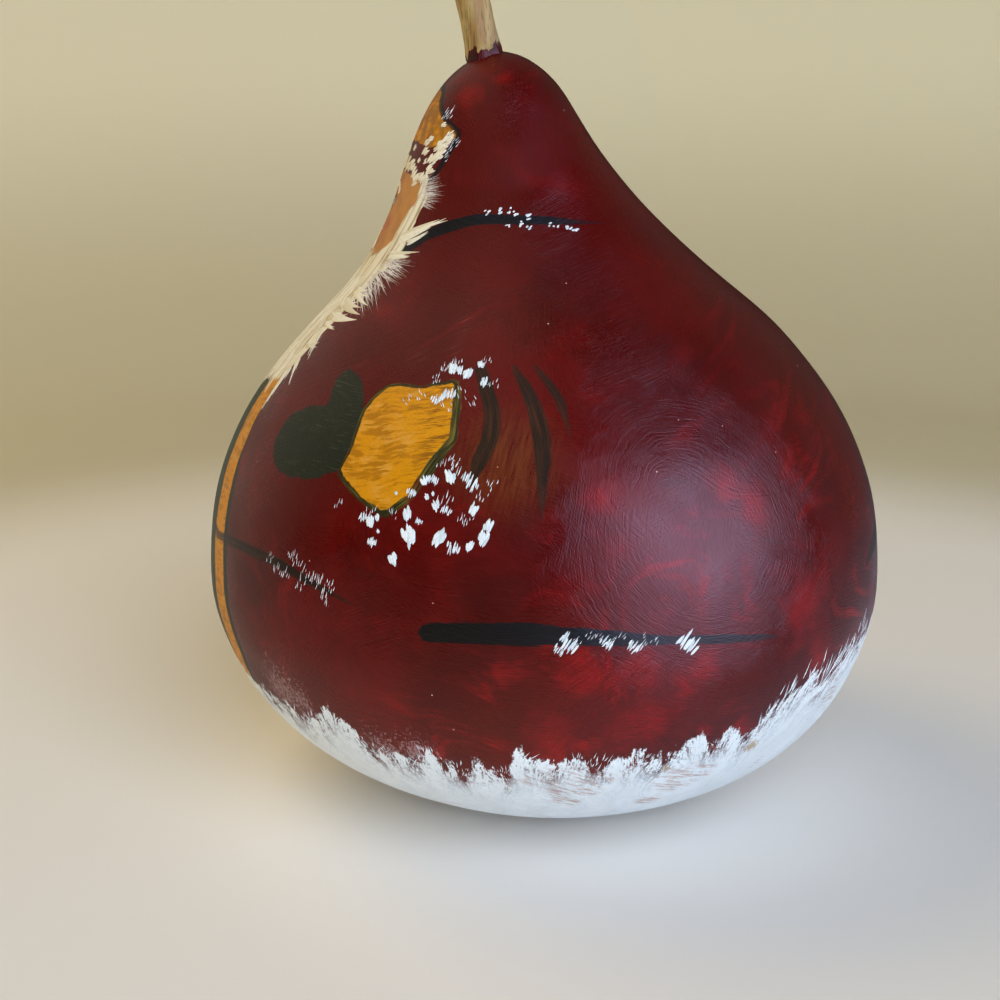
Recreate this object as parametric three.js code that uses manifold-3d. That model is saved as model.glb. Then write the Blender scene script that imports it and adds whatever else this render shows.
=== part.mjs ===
// A dried, painted gourd with its own stem. Millimetres, +Z up.
// The origin is on the surface that the gourd stands on, under the middle of its widest part.
// The painted front faces -Y, and the neck leans that way.
import * as THREE from "three";
import { mergeVertices } from "three/addons/utils/BufferGeometryUtils.js";
import Module from "manifold-3d";

// Half of the gourd's outline as [radius, height], from the flat spot that it rests on up to the crown.
const BODY_OUTLINE = [
  [24, 0],
  [48.5, 4.5],
  [69, 15.5],
  [83.5, 31],
  [91.5, 50],
  [92.5, 66],
  [89.5, 86],
  [80.5, 106],
  [65.5, 125],
  [47.5, 142],
  [35, 157],
  [27, 170],
  [21, 181],
  [14.5, 191],
  [6.5, 197],
  [0, 198.5],
];
const BODY_RINGS = 44;
const BODY_SIDES = 72;

// The neck leans forward between two heights, and the underside sits a little back.
const NECK_LEAN = 12;
const NECK_LEAN_FROM = 125;
const NECK_LEAN_TO = 185;
const BASE_SET_BACK = 3;
const BASE_SET_BACK_TO = 60;

// Grown unevenness, as shares of the radius: slightly oval, with three faint lobes.
const OVAL_SHARE = 0.007;
const OVAL_TURN = Math.PI / 4;
const LOBE_SHARE = 0.004;
const LOBE_COUNT = 3;
const LOBE_TURN = 0.5;

// The stem stands just forward of the crown, follows the lean and ends in a plain cut.
const STEM_LENGTH = 41;
const STEM_RADIUS = 4.3;
const STEM_TIP_RADIUS = 4.9;
const STEM_ROOT_DEPTH = 5;
const STEM_FORWARD = 4.2;
const STEM_FOOT_HEIGHT = 196.5;
const STEM_SLOPE = Math.tan(THREE.MathUtils.degToRad(9.4));
const STEM_BEND = 0.0022;
// At the foot a web widens the stem, most of all towards the back.
const STEM_WEB = 3.4;
const STEM_WEB_LENGTH = 2.2;
const STEM_WEB_FRONT_SHARE = 0.2;
const STEM_RIBS = 5;
const STEM_RIB_SHARE = 0.075;
const STEM_RIB_TWIST = 0.012;
const STEM_RINGS = 26;
const STEM_SIDES = 40;

// The gap that keeps the stem's foot clear of the crown.
const SEAT_GAP = 0.3;

const wasm = await Module();
wasm.setup();

// How far forward, towards -Y, the body's middle lies at a height.
function forwardLean(height) {
  const neck = NECK_LEAN * THREE.MathUtils.smoothstep(height, NECK_LEAN_FROM, NECK_LEAN_TO);
  const fade = Math.max(0, 1 - height / BASE_SET_BACK_TO);
  return neck - BASE_SET_BACK * fade * fade;
}

// How much wider or narrower than a circle the body is at an angle.
function unevenness(angle) {
  const oval = OVAL_SHARE * Math.cos(2 * (angle - OVAL_TURN));
  const lobes = LOBE_SHARE * Math.cos(LOBE_COUNT * (angle - LOBE_TURN));
  return 1 + oval + lobes;
}

// Revolves a profile about Z, then moves every point by a rule of its angle, radius and height.
function revolved(profile, sides, rule) {
  const geometry = new THREE.LatheGeometry(profile, sides);
  geometry.rotateX(Math.PI / 2);
  const points = geometry.getAttribute("position");
  const point = new THREE.Vector3();
  for (let i = 0; i < points.count; i++) {
    point.fromBufferAttribute(points, i);
    const moved = rule(Math.atan2(point.y, point.x), Math.hypot(point.x, point.y), point.z);
    points.setXYZ(i, moved.x, moved.y, moved.z);
  }
  geometry.computeVertexNormals();
  return geometry;
}

// The gourd's body, grown outward all over by a margin.
function bodyGeometry(margin = 0) {
  const outline = new THREE.SplineCurve(BODY_OUTLINE.map((station) => new THREE.Vector2(...station)));
  const profile = [new THREE.Vector2(0, 0), ...outline.getSpacedPoints(BODY_RINGS)];
  return revolved(profile, BODY_SIDES, (angle, radius, height) => {
    const reach = radius * unevenness(angle) + (radius > 0 ? margin : 0);
    const lift = height > NECK_LEAN_TO ? margin : 0;
    return new THREE.Vector3(
      reach * Math.cos(angle),
      reach * Math.sin(angle) - forwardLean(height),
      height + lift,
    );
  });
}

// How far the web at the stem's foot stands out at an angle.
function stemWeb(angle, along) {
  const behind = (1 + Math.sin(angle)) / 2;
  const share = THREE.MathUtils.lerp(STEM_WEB_FRONT_SHARE, 1, behind);
  return STEM_WEB * share * Math.exp(-Math.max(0, along) / STEM_WEB_LENGTH);
}

// The stem with its foot run down into the crown: ribbed, webbed at the foot and cut off square at the tip.
function stemGeometry() {
  const profile = [new THREE.Vector2(0, -STEM_ROOT_DEPTH)];
  for (let i = 0; i <= STEM_RINGS; i++) {
    const along = THREE.MathUtils.lerp(-STEM_ROOT_DEPTH, STEM_LENGTH, i / STEM_RINGS);
    const swell = THREE.MathUtils.smoothstep(along, 0, STEM_LENGTH);
    const shaft = THREE.MathUtils.lerp(STEM_RADIUS, STEM_TIP_RADIUS, swell);
    profile.push(new THREE.Vector2(shaft, along));
  }
  profile.push(new THREE.Vector2(0, STEM_LENGTH));
  const footForward = NECK_LEAN + STEM_FORWARD;
  return revolved(profile, STEM_SIDES, (angle, radius, along) => {
    const ribs = 1 + STEM_RIB_SHARE * Math.cos(STEM_RIBS * (angle + STEM_RIB_TWIST * along));
    const reach = radius > 0 ? radius * ribs + stemWeb(angle, along) : 0;
    const forward = footForward + STEM_SLOPE * along + STEM_BEND * along * along;
    return new THREE.Vector3(
      reach * Math.cos(angle),
      reach * Math.sin(angle) - forward,
      STEM_FOOT_HEIGHT + along,
    );
  });
}

// A closed geometry as a solid that can be cut.
function solidOf(geometry) {
  const bare = geometry.clone();
  bare.deleteAttribute("normal");
  bare.deleteAttribute("uv");
  const merged = mergeVertices(bare, 1e-4);
  return new wasm.Manifold(
    new wasm.Mesh({
      numProp: 3,
      vertProperties: new Float32Array(merged.getAttribute("position").array),
      triVerts: new Uint32Array(merged.index.array),
    }),
  );
}

function geometryOf(solid) {
  const mesh = solid.getMesh();
  const geometry = new THREE.BufferGeometry();
  geometry.setAttribute("position", new THREE.BufferAttribute(mesh.vertProperties, 3));
  geometry.setIndex(new THREE.BufferAttribute(mesh.triVerts, 1));
  geometry.computeVertexNormals();
  return geometry;
}

const redPaint = new THREE.MeshStandardMaterial({ color: 0x5a1512, roughness: 0.42, metalness: 0 });
const dryStem = new THREE.MeshStandardMaterial({ color: 0xa8824e, roughness: 0.7, metalness: 0 });

const body = new THREE.Mesh(bodyGeometry(), redPaint);
body.name = "gourd_body";

// The stem's foot is cut to the crown's own curve, with the seat gap left between them.
const seatedStem = solidOf(stemGeometry()).subtract(solidOf(bodyGeometry(SEAT_GAP)));
const stem = new THREE.Mesh(geometryOf(seatedStem), dryStem);
stem.name = "stem";

const gourd = new THREE.Group();
gourd.name = "painted_gourd";
gourd.add(body, stem);

export default gourd;
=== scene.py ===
# The looks of a dried gourd that is painted as a robed, bearded winter figure.
# Named lengths are in millimetres and angles in degrees; Blender's own lengths are metres.
import math

import bmesh
import bpy
import numpy as np
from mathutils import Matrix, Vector
from mathutils.bvhtree import BVHTree

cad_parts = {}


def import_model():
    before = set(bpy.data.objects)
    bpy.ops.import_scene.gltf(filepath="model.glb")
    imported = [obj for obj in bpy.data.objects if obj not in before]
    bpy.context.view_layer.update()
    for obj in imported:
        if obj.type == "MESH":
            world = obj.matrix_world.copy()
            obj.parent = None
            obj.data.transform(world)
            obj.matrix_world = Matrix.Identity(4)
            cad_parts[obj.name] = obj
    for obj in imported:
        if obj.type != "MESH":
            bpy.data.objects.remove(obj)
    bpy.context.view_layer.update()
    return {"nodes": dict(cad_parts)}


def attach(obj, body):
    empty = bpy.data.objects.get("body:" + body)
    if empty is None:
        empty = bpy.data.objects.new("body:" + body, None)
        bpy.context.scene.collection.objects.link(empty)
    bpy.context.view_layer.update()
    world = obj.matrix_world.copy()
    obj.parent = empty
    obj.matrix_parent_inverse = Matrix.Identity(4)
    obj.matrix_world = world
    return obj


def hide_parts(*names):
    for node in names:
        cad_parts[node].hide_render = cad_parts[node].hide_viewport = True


MM = 0.001

# The camera, as fitted to the gourd's outline in the photograph.
PHOTO_PIXELS = 1000
FOCAL_PIXELS = 1589
SENSOR_WIDTH = 36
CAMERA_TURN = 95
CAMERA_PITCH = 15.33
CAMERA_YAW = -1.61
EYE_DISTANCE = 430
EYE_HEIGHT = 195
CLIP_START = 10

# Paint and material colours, as they look under even light, apart from those noted as painted shade.
RED_DEEP = "#4a0201"
RED_MID = "#6b0302"
RED_BRIGHT = "#980508"
RED_DARK = "#330100"
RED_BROWN = "#560602"
SLEEVE_BROWN = "#7c3d16"
DUST_PALE = "#d9b7a6"
SCUFF_PINK = "#a8635c"
OCHRE = "#d88c02"
OCHRE_DARK = "#b26f02"
OCHRE_PALE = "#dc9f48"
OCHRE_BROWN = "#6b3d06"
HOOD_BROWN = "#8f5a1c"
OLIVE_LINE = "#2b2710"
OLIVE_PALE = "#7a6a2a"
MITTEN_DARK = "#232519"
MITTEN_WORN = "#4c4a34"
STROKE_BLACK = "#130e0d"
STROKE_BLUE = "#0e0e15"
STROKE_OLIVE = "#1b130c"
STROKE_PALE = "#30230f"
ROBE_GREEN = "#35492c"
ROBE_GREEN_DEEP = "#1d2f1e"
WHITE_PAINT = "#f4f8fb"
# A bluish grey for the white paint's darker marks and for the painted shade in the hem.
WHITE_SHADE = "#c2ccd6"
CREAM_PAINT = "#f6ead2"
CREAM_SHADE = "#d6c19c"
CREAM_TAN = "#a98a5c"
PINK_PALE = "#e8dfd6"
PINK_DULL = "#ab857b"
FACE_SKIN = "#c68745"
FACE_SHADE = "#9a5f36"
FACE_ROSE = "#b8543f"
EYE_WHITE = "#e6dcc8"
EYE_DARK = "#2a1b12"
BARE_GOURD = "#b58d58"
HEM_STAIN = "#b98a78"
FAINT_WHITE = "#a98585"
STEM_TAN = "#a37c47"
STEM_PALE = "#b8995f"
STEM_BROWN = "#6e4d28"
STEM_GREY = "#8f8878"
FLOOR_PALE = "#f1e8df"
# A painted shade for the floor's far part and the wall's foot.
WALL_SHADE_LOW = "#cabea1"
WALL_WARM = "#eadfc1"

# Outlines of the painted mitten and cuff, in pixels of the photograph.
MITTEN_OUTLINE = [
    (349, 368), (358, 374), (363, 385), (365, 406), (354, 440), (338, 472), (326, 474), (312, 480),
    (293, 478), (278, 471), (273, 456), (274, 444), (280, 429), (292, 414), (310, 406), (328, 406),
    (331, 394), (338, 376),
]
CUFF_OUTLINE = [
    (365, 411), (374, 399), (388, 388), (401, 386), (419, 389), (455, 383), (453, 405), (449, 438),
    (430, 459), (407, 495), (384, 512), (361, 497), (340, 472), (353, 447),
]

# The outer edge of the dark band that shows round the cuff, widest on its right.
CUFF_BAND = [
    (362, 410), (373, 396), (387, 385), (401, 383), (419, 386), (458, 379), (462, 394), (459, 422),
    (457, 441), (446, 456), (432, 475), (412, 500), (398, 510), (386, 519), (366, 507), (350, 491),
    (337, 474), (350, 447),
]
CUFF_LINES = ((416, 420), (446, 420))

# Dark fold strokes: pixels along each one, and its width in millimetres at those pixels.
FOLD_STROKES = [
    ([(403, 251), (428, 235), (456, 225), (487, 219), (552, 221), (606, 223)],
     [3.2, 3.6, 3.2, 3.0, 2.6, 0.3]),
    ([(426, 633), (440, 633), (512, 634), (601, 638), (668, 640), (716, 639), (760, 637), (782, 636)],
     [4.2, 5.1, 5.4, 4.2, 2.2, 2.3, 1.7, 0.2]),
]
# Thinner, olive strokes on the sleeve and beside the back, and hairline cracks in the paint.
LIGHT_STROKES = [
    ([(480, 369), (487, 390), (492, 415), (489, 440), (479, 463), (471, 484)],
     [2.8, 3.7, 4.1, 4.2, 3.8, 1.6]),
    ([(533, 364), (549, 384), (562, 406), (571, 440)], [1.0, 2.3, 2.3, 0.3]),
    ([(876, 526), (874, 540), (870, 553), (866, 567)], [4.0, 5.0, 4.0, 1.0]),
    ([(217, 534), (246, 548), (276, 562), (303, 578), (329, 592), (360, 609)],
     [2.4, 2.7, 2.6, 2.3, 1.7, 0.2]),
    ([(654, 484), (662, 479), (676, 479), (691, 481)], [0.3, 0.5, 0.4, 0.2]),
    ([(655, 484), (668, 486), (682, 482)], [0.3, 0.4, 0.2]),
    ([(742, 531), (764, 539), (788, 545)], [0.2, 0.6, 0.3]),
]
MIDDLE_STROKES = [([(513, 366), (529, 394), (539, 426), (543, 459), (541, 524)], [1.4, 3.4, 4.3, 4.0, 0.4])]
# Further folds, as turns from the front and heights: the sash across the front, and the hood's folds behind.
SASH_FRONT = ([(0, 80), (12, 79), (25, 76)], [2.6, 2.8, 2.6])
FAR_STROKES = [
    ([(181, 131), (185, 118), (186, 102), (184, 84)], [0.8, 3.2, 3.4, 0.4]),
    ([(200, 121), (203, 110), (203, 97)], [0.6, 2.6, 0.4]),
    ([(214, 114), (216, 104), (215, 94)], [0.6, 2.4, 0.4]),
]
# The hood's outline: distance round from the middle and height, and its width there.
HOOD_LINE = (
    [(0, 190.4), (8.3, 188.6), (11.2, 186.4), (14.8, 183.9), (18.3, 181.9), (22.8, 180.0), (26.5, 178.3),
     (27.0, 176.3), (27.1, 174.1), (26.9, 171.6), (26.6, 169.4), (25.8, 167.1), (25.0, 166.3)],
    [1.8, 1.8, 1.8, 1.7, 1.6, 1.5, 1.6, 1.9, 2.0, 2.0, 1.9, 1.6, 0.8],
)
STROKE_REACH = 7.0
STROKE_MARGIN = 2.2
NO_STROKE = -10.0
STROKE_STEPS = 14

# The second arm is the first one mirrored, turned a little and set lower, as a hand would paint it.
MIRROR_TURN = 3.0
MIRROR_DROP = 2.0

# Patches of brighter red, partly fresh paint and partly painted light where the window's light falls, and of
# darker red, partly deep paint and partly painted shade: their middles and reaches.
FRESH_AND_LIT_PATCHES = [
    ((805, 598), 14.0), ((705, 664), 6.0), ((640, 670), 9.0), ((590, 670), 8.0), ((728, 484), 7.0),
    ((755, 505), 8.0), ((606, 500), 7.0), ((820, 660), 9.0), ((545, 738), 9.0), ((640, 722), 11.0),
    ((468, 97), 6.0), ((505, 78), 5.0),
]
DEEP_AND_SHADED_PATCHES = [((385, 590), 24.0), ((470, 588), 15.0), ((620, 345), 24.0), ((540, 310), 16.0)]
# A thin, brownish patch on the sleeve: its middle and reach.
SLEEVE_MIDDLE = (506, 462)
SLEEVE_HALF_SIZE = 19.0

# Halves of the painted front, as distance round from the middle and height.
BEARD_HALF = [
    (0, 147), (15.2, 147.5), (19.8, 148.7), (23.6, 150.9), (22.7, 153.8), (22.2, 156), (22.6, 158.6),
    (23.4, 160.9), (22.9, 164.1), (21.5, 166.4), (23.5, 167.2), (25.1, 165.5), (27.4, 162.8),
    (28.2, 160.9), (27.4, 158.6), (28.7, 156.5), (28.7, 154.6), (29.7, 149.9), (30.2, 144.9),
    (28.1, 142.9), (28.6, 140.4), (28.4, 137.8), (28.8, 135.2), (30, 131), (30.8, 126), (31.6, 120.5),
    (31, 117), (26, 115), (18, 114), (9, 111), (0, 108),
]
FACE_HALF = [
    (0, 168.5), (9, 168.2), (16.6, 167.4), (21.5, 166.8), (24, 164.1), (24.4, 160.9), (24, 156),
    (24.5, 150.9), (19.8, 148), (15.2, 147), (0, 146),
]
HOOD_HALF = [
    (0, 190), (8.3, 188.2), (11.2, 186), (14.8, 183.5), (18.3, 181.5), (22.8, 179.6), (26.3, 178),
    (25.4, 176.6), (23.8, 175.7), (22.2, 174.9), (19.3, 174.6), (15.2, 175), (10.5, 175.6), (0, 176),
]
# The robe's front trim: height and distance round from the middle to its outer edge, its width, and the
# dark line beside it, which is thin above and thick below.
TRIM_EDGE = [
    (36, 50), (48, 54), (54, 52.7), (61, 50.2), (76, 46.8), (85, 44.6), (93.5, 40.9), (101, 38), (106, 35.2),
    (110, 34.2), (114, 32), (130, 28),
]
TRIM_WIDTH = 10.4
TRIM_LINES = (0.8, 3.0)
TRIM_LINE_HEIGHTS = (102, 86)
# Marks in the hem, as pixels and reaches: stippled patches above it, an ochre spot and brown scratches.
HEM_STIPPLE = [((283, 690), 13.0), ((300, 700), 8.0), ((386, 752), 11.0), ((418, 754), 10.0)]
HEM_SPOTS = [((751, 746), 2.6), ((666, 768), 2.0)]
HEM_SCRATCHES = [((677, 780), 9.0), ((700, 772), 6.0), ((648, 800), 5.0)]
# The fur hem's upper edge: turn from the front, and height.
HEM_EDGE = [
    (0, 36), (20, 38), (37, 38), (52, 36), (55, 38), (59, 43), (62, 40), (65, 33), (74, 33), (76.5, 36.5),
    (81, 31), (84.5, 35), (89, 32), (92, 39.5), (97, 35), (100, 39), (105, 35), (110, 37.5), (114, 35),
    (119.5, 42.5), (122.5, 37.5), (125, 40.5), (129, 38), (132, 44), (137, 47), (141, 50), (146, 45),
    (150, 50), (158, 52), (170, 47), (180, 49),
]

# Millimetres round the hem for each degree.
HEM_AROUND = 1.5

# How far past its edge each painted shape can reach, by the name of its field: in millimetres, and for round
# marks in their own reaches.
PAINT_REACH = {
    "mitten": 4.0, "cuff_band": 4.0, "hood": 4.0, "face": 4.0, "beard": 8.0, "trim": 7.0, "hem": 12.5,
    "sleeve": 1.15,
}
HEM_MARK_REACH = (1.3, 3.5)
# Below this height are the hem and the robe's front alone; above it, everything but the hem.
HEM_BELOW = 70
STROKE_FIELDS = ("fold", "light_fold", "middle_fold")

# How far out a search for the surface starts, how far a patch's own flat holds good, and the distance from
# round marks, in their reaches, past which it no longer matters.
SEARCH_START = 50
PATCH_REACH = 60.0
MARK_FAR = 9.0

# Body and stem meshes: subdivision, how near points merge, how far two triangles may bend and skew and still
# pair, the angles in radians at which an edge starts to stay sharp and is quite sharp, and the depth and
# lengths of the dents and grooves that they grew with.
SKIN_LEVEL = 2
MERGE_DISTANCE = 0.01
PAIRING_ANGLES = (40, 60)
SHARP_EDGE = (0.7, 1.2)
DENT_DEPTH = 0.35
DENT_LENGTHS = (34.0, 34.0, 34.0)
GROOVE_DEPTH = 0.3
GROOVE_LENGTHS = (1.1, 1.1, 16.0)
# How near to the crown the stem's foot is, and how far it is sunk in there.
FOOT_REACH = 0.7
FOOT_SINK = 1.5

# What the sizes of brush marks name in turn. Copies and ratios are as they stand; the rest are lengths.
SIZE_LABELS = ("Copies", "Along", "Across", "Length", "Width", "Thickness", "Lean", "Fan", "Back")
MARK_RATIOS = ("Copies", "Lean", "Fan", "Back")
MARK_SEED = 12

# White dabs, as pixels and sizes: thick ones, ones hatched by the bristles, faint flecks and the neck's dots.
THICK_DABS = [
    ((2, -9), [(453, 368, 1.0), (460, 370, 0.7), (467, 374, 1.0), (481, 364, 0.7), (484, 382, 0.75)]),
    ((-2, -9), [(450, 476, 1.1), (424, 481, 0.75), (427, 497, 0.45), (433, 494, 0.35), (436, 506, 0.8)]),
    ((3, -8), [(473, 510, 0.9), (488, 526, 1.0), (483, 538, 1.15), (469, 547, 0.75), (439, 538, 1.35)]),
    ((-1, -8), [(408, 536, 1.5), (407, 514, 0.95), (370, 522, 0.95), (377, 517, 0.5), (378, 531, 0.3)]),
    ((-2, -9), [(393, 559, 1.0), (396, 493, 0.3)]),
]
HATCHED_DABS = [
    ((6, -8), [(688, 643, 1.3), (635, 646, 0.8), (607, 643, 0.75), (569, 643, 1.1), (559, 650, 0.6)]),
    ((3, -8), [(437, 399, 0.75), (449, 394, 0.8), (433, 479, 0.7), (471, 482, 1.0), (446, 511, 0.6)]),
    ((2, -8), [(453, 548, 0.75), (411, 492, 0.6), (363, 517, 0.55), (372, 542, 0.6), (419, 521, 0.4)]),
]
FLECKS = [
    ((2, -8), [(446, 368, 1.0), (441, 372, 0.8), (436, 379, 0.8),
               (457, 361, 1.0), (486, 362, 1.0), (494, 381, 1.0)]),
    ((-3, -8), [(408, 399, 1.0), (420, 394, 0.9), (447, 407, 1.0), (459, 391, 1.0), (471, 400, 0.9)]),
    ((3, -8), [(457, 470, 1.2), (444, 462, 1.0), (453, 462, 1.0),
               (447, 495, 1.3), (481, 498, 1.0), (491, 484, 1.0)]),
    ((2, -8), [(462, 519, 0.8), (468, 520, 0.8), (393, 513, 0.8), (339, 503, 0.8), (370, 512, 0.9)]),
    ((6, -8), [(590, 637, 0.8), (600, 635, 0.7), (620, 637, 0.8),
               (645, 640, 0.8), (655, 642, 0.7), (578, 640, 0.8)]),
    ((5, -6), [(450, 112, 1.2), (447, 117, 1.0), (447, 149, 0.8),
               (445, 158, 0.8), (452, 146, 0.8), (457, 139, 0.9)]),
    ((2, -9), [(322, 588, 1.4), (300, 583, 1.2), (285, 575, 1.1),
               (292, 552, 1.0), (318, 573, 1.2), (310, 580, 1.2)]),
    ((2, -9), [(277, 568, 1.1), (270, 558, 0.9), (303, 566, 0.9),
               (296, 560, 1.0), (326, 595, 1.2), (330, 586, 0.9)]),
]
NECK_DOTS = [
    ((3, -2), [(487, 212, 1.0), (499, 211, 1.1), (510, 211, 1.0),
               (528, 216, 1.1), (508, 226, 0.8), (521, 224, 0.9)]),
    ((3, -2), [(551, 225, 0.9), (568, 228, 1.2), (575, 230, 1.1),
               (516, 213, 1.0), (530, 227, 0.9), (557, 227, 0.7)]),
]
THICK_SIZES = (8, 0.6, 0.8, 3.0, 0.8, 0.22, 0.14, 0.1, 0.5)
HATCHED_SIZES = (9, 0.9, 2.1, 3.3, 0.52, 0.14, 0.16, 0.0, 0.5)
FLECK_SIZES = (5, 1.3, 1.5, 1.9, 0.38, 0.08, 0.2, 0.0, 0.5)
DOT_SIZES = (3, 0.7, 0.8, 1.15, 0.6, 0.14, 0.6, 0.0, 0.5)
# The hem's tufts: degrees between them, and the sizes of their marks.
HEM_TUFT_STEP = 1.6
# Towards the back the tufts are swept round and grow longer: by how much, and the turns between which.
HEM_SWEEP = (3.5, 118, 150)
HEM_LONGER = (1.4, 128, 142)
HEM_SIZES = (9, 2.4, 1.9, 2.3, 0.34, 0.07, 0.35, 0.4, 0.3)
# The beard: height and half width for its locks, and the steps between them.
BEARD_WIDTHS = [(122, 24), (130, 24), (140, 23), (146, 22)]
BEARD_ROW_STEP = 6.0
BEARD_LOCK_STEP = 3.4
BEARD_SIZES = (2, 3.0, 1.4, 13.0, 0.9, 0.16, 0.1, 0.0, 0.2)
# Locks along the beard's lower edge: distance round from the middle, height, and the way they run.
BEARD_TIPS = [
    (1, 117, (0.3, -4)), (4, 118, (0.5, -4)), (7, 119, (-0.3, -4)), (10, 120, (0.8, -4)),
    (13, 121, (0.4, -4)), (16, 121, (1.0, -4)), (19, 122, (0.8, -4)), (22, 122, (1.6, -4)),
    (25, 124, (1.2, -4)),
]
# Single locks at the beard's side, from one pixel to another, with the length that counts as one in size;
# ones that end in a hook; and fuzzy fans.
WISP_UNIT = 10
WISPS = [
    ((399, 240), (446, 222)), ((408, 243), (432, 232)), ((389, 255), (415, 257)), ((299, 358), (289, 384)),
    ((291, 368), (283, 381)), ((288, 370), (265, 404)), ((284, 360), (268, 384)), ((322, 330), (306, 359)),
]
HOOKS = [
    ((345, 299), (349, 323)), ((333, 312), (339, 336)), ((308, 342), (312, 355)), ((357, 289), (361, 311)),
    ((326, 322), (326, 340)),
]
FANS = [
    ((424, 186), (446, 181)), ((424, 192), (447, 190)), ((423, 199), (444, 201)), ((390, 262), (410, 268)),
    ((386, 265), (411, 279)), ((380, 269), (402, 286)), ((371, 280), (379, 309)), ((364, 286), (373, 313)),
]
WISP_SIZES = (6, 0.6, 0.9, 9.5, 0.95, 0.2, 0.07, -0.04, 0.0)
HOOK_SIZES = (3, 0.4, 0.6, 8.5, 1.9, 0.18, 0.06, 0.0, 0.0)
FAN_SIZES = (24, 1.8, 2.2, 7.6, 0.32, 0.06, 0.22, 0.28, 0.0)
# Ovals of colour on the face: middle, half sizes, share at full strength, strength and colour.
FACE_TONES = [
    ((8, 161.5), (5.5, 4.0), 0.3, 0.45, FACE_SHADE),
    ((11.5, 154.5), (5, 3.6), 0.2, 0.6, FACE_ROSE),
    ((0, 153.8), (4.2, 1.8), 0.5, 0.6, FACE_SHADE),
    ((0, 155.4), (3.2, 2.3), 0.6, 0.7, FACE_ROSE),
    ((0, 158.0), (1.3, 4.0), 0.4, 0.6, OCHRE_PALE),
]
# About the face: where locks start and the way they run, and the fur and brow marks of one side.
MOUSTACHE_LOCKS = [
    (0.8, 152.6, (4, -0.6)), (1.0, 151.8, (4, -1.4)), (2.6, 152.2, (4, -1.6)), (4.4, 151.2, (4, -2.4)),
    (1.6, 150.6, (4, -2.2)),
]
MOUSTACHE_SIZES = (4, 0.8, 1.0, 7.0, 1.2, 0.25, 0.2, 0.0, 0.0)
HOOD_FUR = [
    (0.0, 170.2, 1.0), (3.5, 170.4, 1.1), (7.0, 170.0, 1.0), (10.5, 170.0, 1.1), (13.8, 169.7, 1.1),
    (19.3, 166.8, 1.2), (16.6, 168.2, 0.8), (22.4, 167.4, 0.9), (23.7, 169.3, 0.9), (22.8, 171.8, 1.0),
    (24.1, 172.5, 0.9), (24.5, 173.7, 0.9), (22.4, 174.9, 0.9), (23.7, 175.3, 0.9), (24.6, 176.4, 0.9),
    (24.3, 177.8, 0.6), (20.0, 180.2, 0.5), (17.0, 175.8, 0.6), (17.8, 176.6, 0.6), (18.2, 173.5, 0.8),
    (17.0, 171.2, 0.4), (20.2, 171.0, 0.4), (1.5, 174.0, 0.5), (5.5, 173.6, 0.5), (11.0, 174.0, 0.5),
]
BROWS = [(4.6, 164.0), (6.2, 164.5), (7.8, 164.5), (9.4, 164.0), (10.8, 163.2)]
HOOD_FUR_SIZES = (7, 0.8, 1.1, 3.1, 0.85, 0.18, 0.3, 0.2, 0.5)

# The ways that the brush ran, and the middle and reach of the place where it went round and round.
BRUSH_TURNS = (6, 58, -38)
SWIRL_MIDDLE = (690, 530)
SWIRL_REACH = 36.0

# Dust specks: the step between them, their reach, and the share of them that is left out.
SPECK_STEP = 5.0
SPECK_REACH = 0.22
SPECK_RARITY = 0.34

# The varnish's gloss.
VARNISH_GLOSS = 0.5

# Lights: metres ahead, to the right and up, as the camera sees it, then size, watts and colour.
LIGHTS = {
    "window": ((0.53, 0.58, 0.3), 0.7, 8.4, "#cdd5ff"),
    "sky": ((0.77, 0.96, 0.51), 0.8, 1.6, "#76b4ff"),
    "key": ((1.0, 0.39, 0.82), 1.0, 14.8, "#cee3ff"),
    "lamp": ((0.48, -1.09, 0.59), 0.9, 2.0, "#fff6b5"),
    "overhead": ((-0.33, -0.73, 1.1), 0.8, 6.3, "#ffebbc"),
    "low": ((1.17, 0.57, 0.06), 0.8, 6.2, "#b5dcff"),
}
LIGHT_TARGET = 0.08
# The room's even light, and how bright its walls, ceiling and table are in the varnish, on one side and on
# the other; then where each of them starts and ends, and where one side passes into the other.
ROOM_LIGHT = 0.015
ROOM_WARM = "#f1e6d2"
ROOM_COOL = "#d6dff2"
ROOM_WALLS = (0.12, 0.44)
ROOM_CEILING = (0.03, 0.5)
ROOM_TABLE = (0.4, 0.52)
WALLS_FROM = (0.05, -0.45)
WALLS_TO = (-1.0, -0.84)
WALLS_SIDES = (0.3, -0.5)
CEILING_FROM = (0.6, 0.85)
CEILING_SIDES = (0.15, -0.2)
TABLE_FROM = (-0.08, -0.4)
TABLE_SIDES = (-0.6, 0.6)
COOL_FROM = (0.0, -0.2)
COOL_SIDES = (-0.2, 0.4)

# The floor: its flat part, the curve up to the wall and the wall's height.
SWEEP_FLAT = 520
SWEEP_CURVE = 420
SWEEP_STEPS = 24
SWEEP_SIDES = 128
SWEEP_HEIGHT = 700
# How far out the floor darkens to a painted shade, that of the wall's foot, and the heights between which the
# wall grows paler above it.
FLOOR_FADE = (260, 430)
WALL_FADE = (20, 210)
FLOOR_ROUGHNESS = 0.7


def colour(code):
    """A colour code as linear red, green, blue and alpha."""
    channels = [int(code[i:i + 2], 16) / 255 for i in (1, 3, 5)]
    linear = [c / 12.92 if c <= 0.04045 else ((c + 0.055) / 1.055) ** 2.4 for c in channels]
    return (*linear, 1.0)


# Node trees

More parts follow.
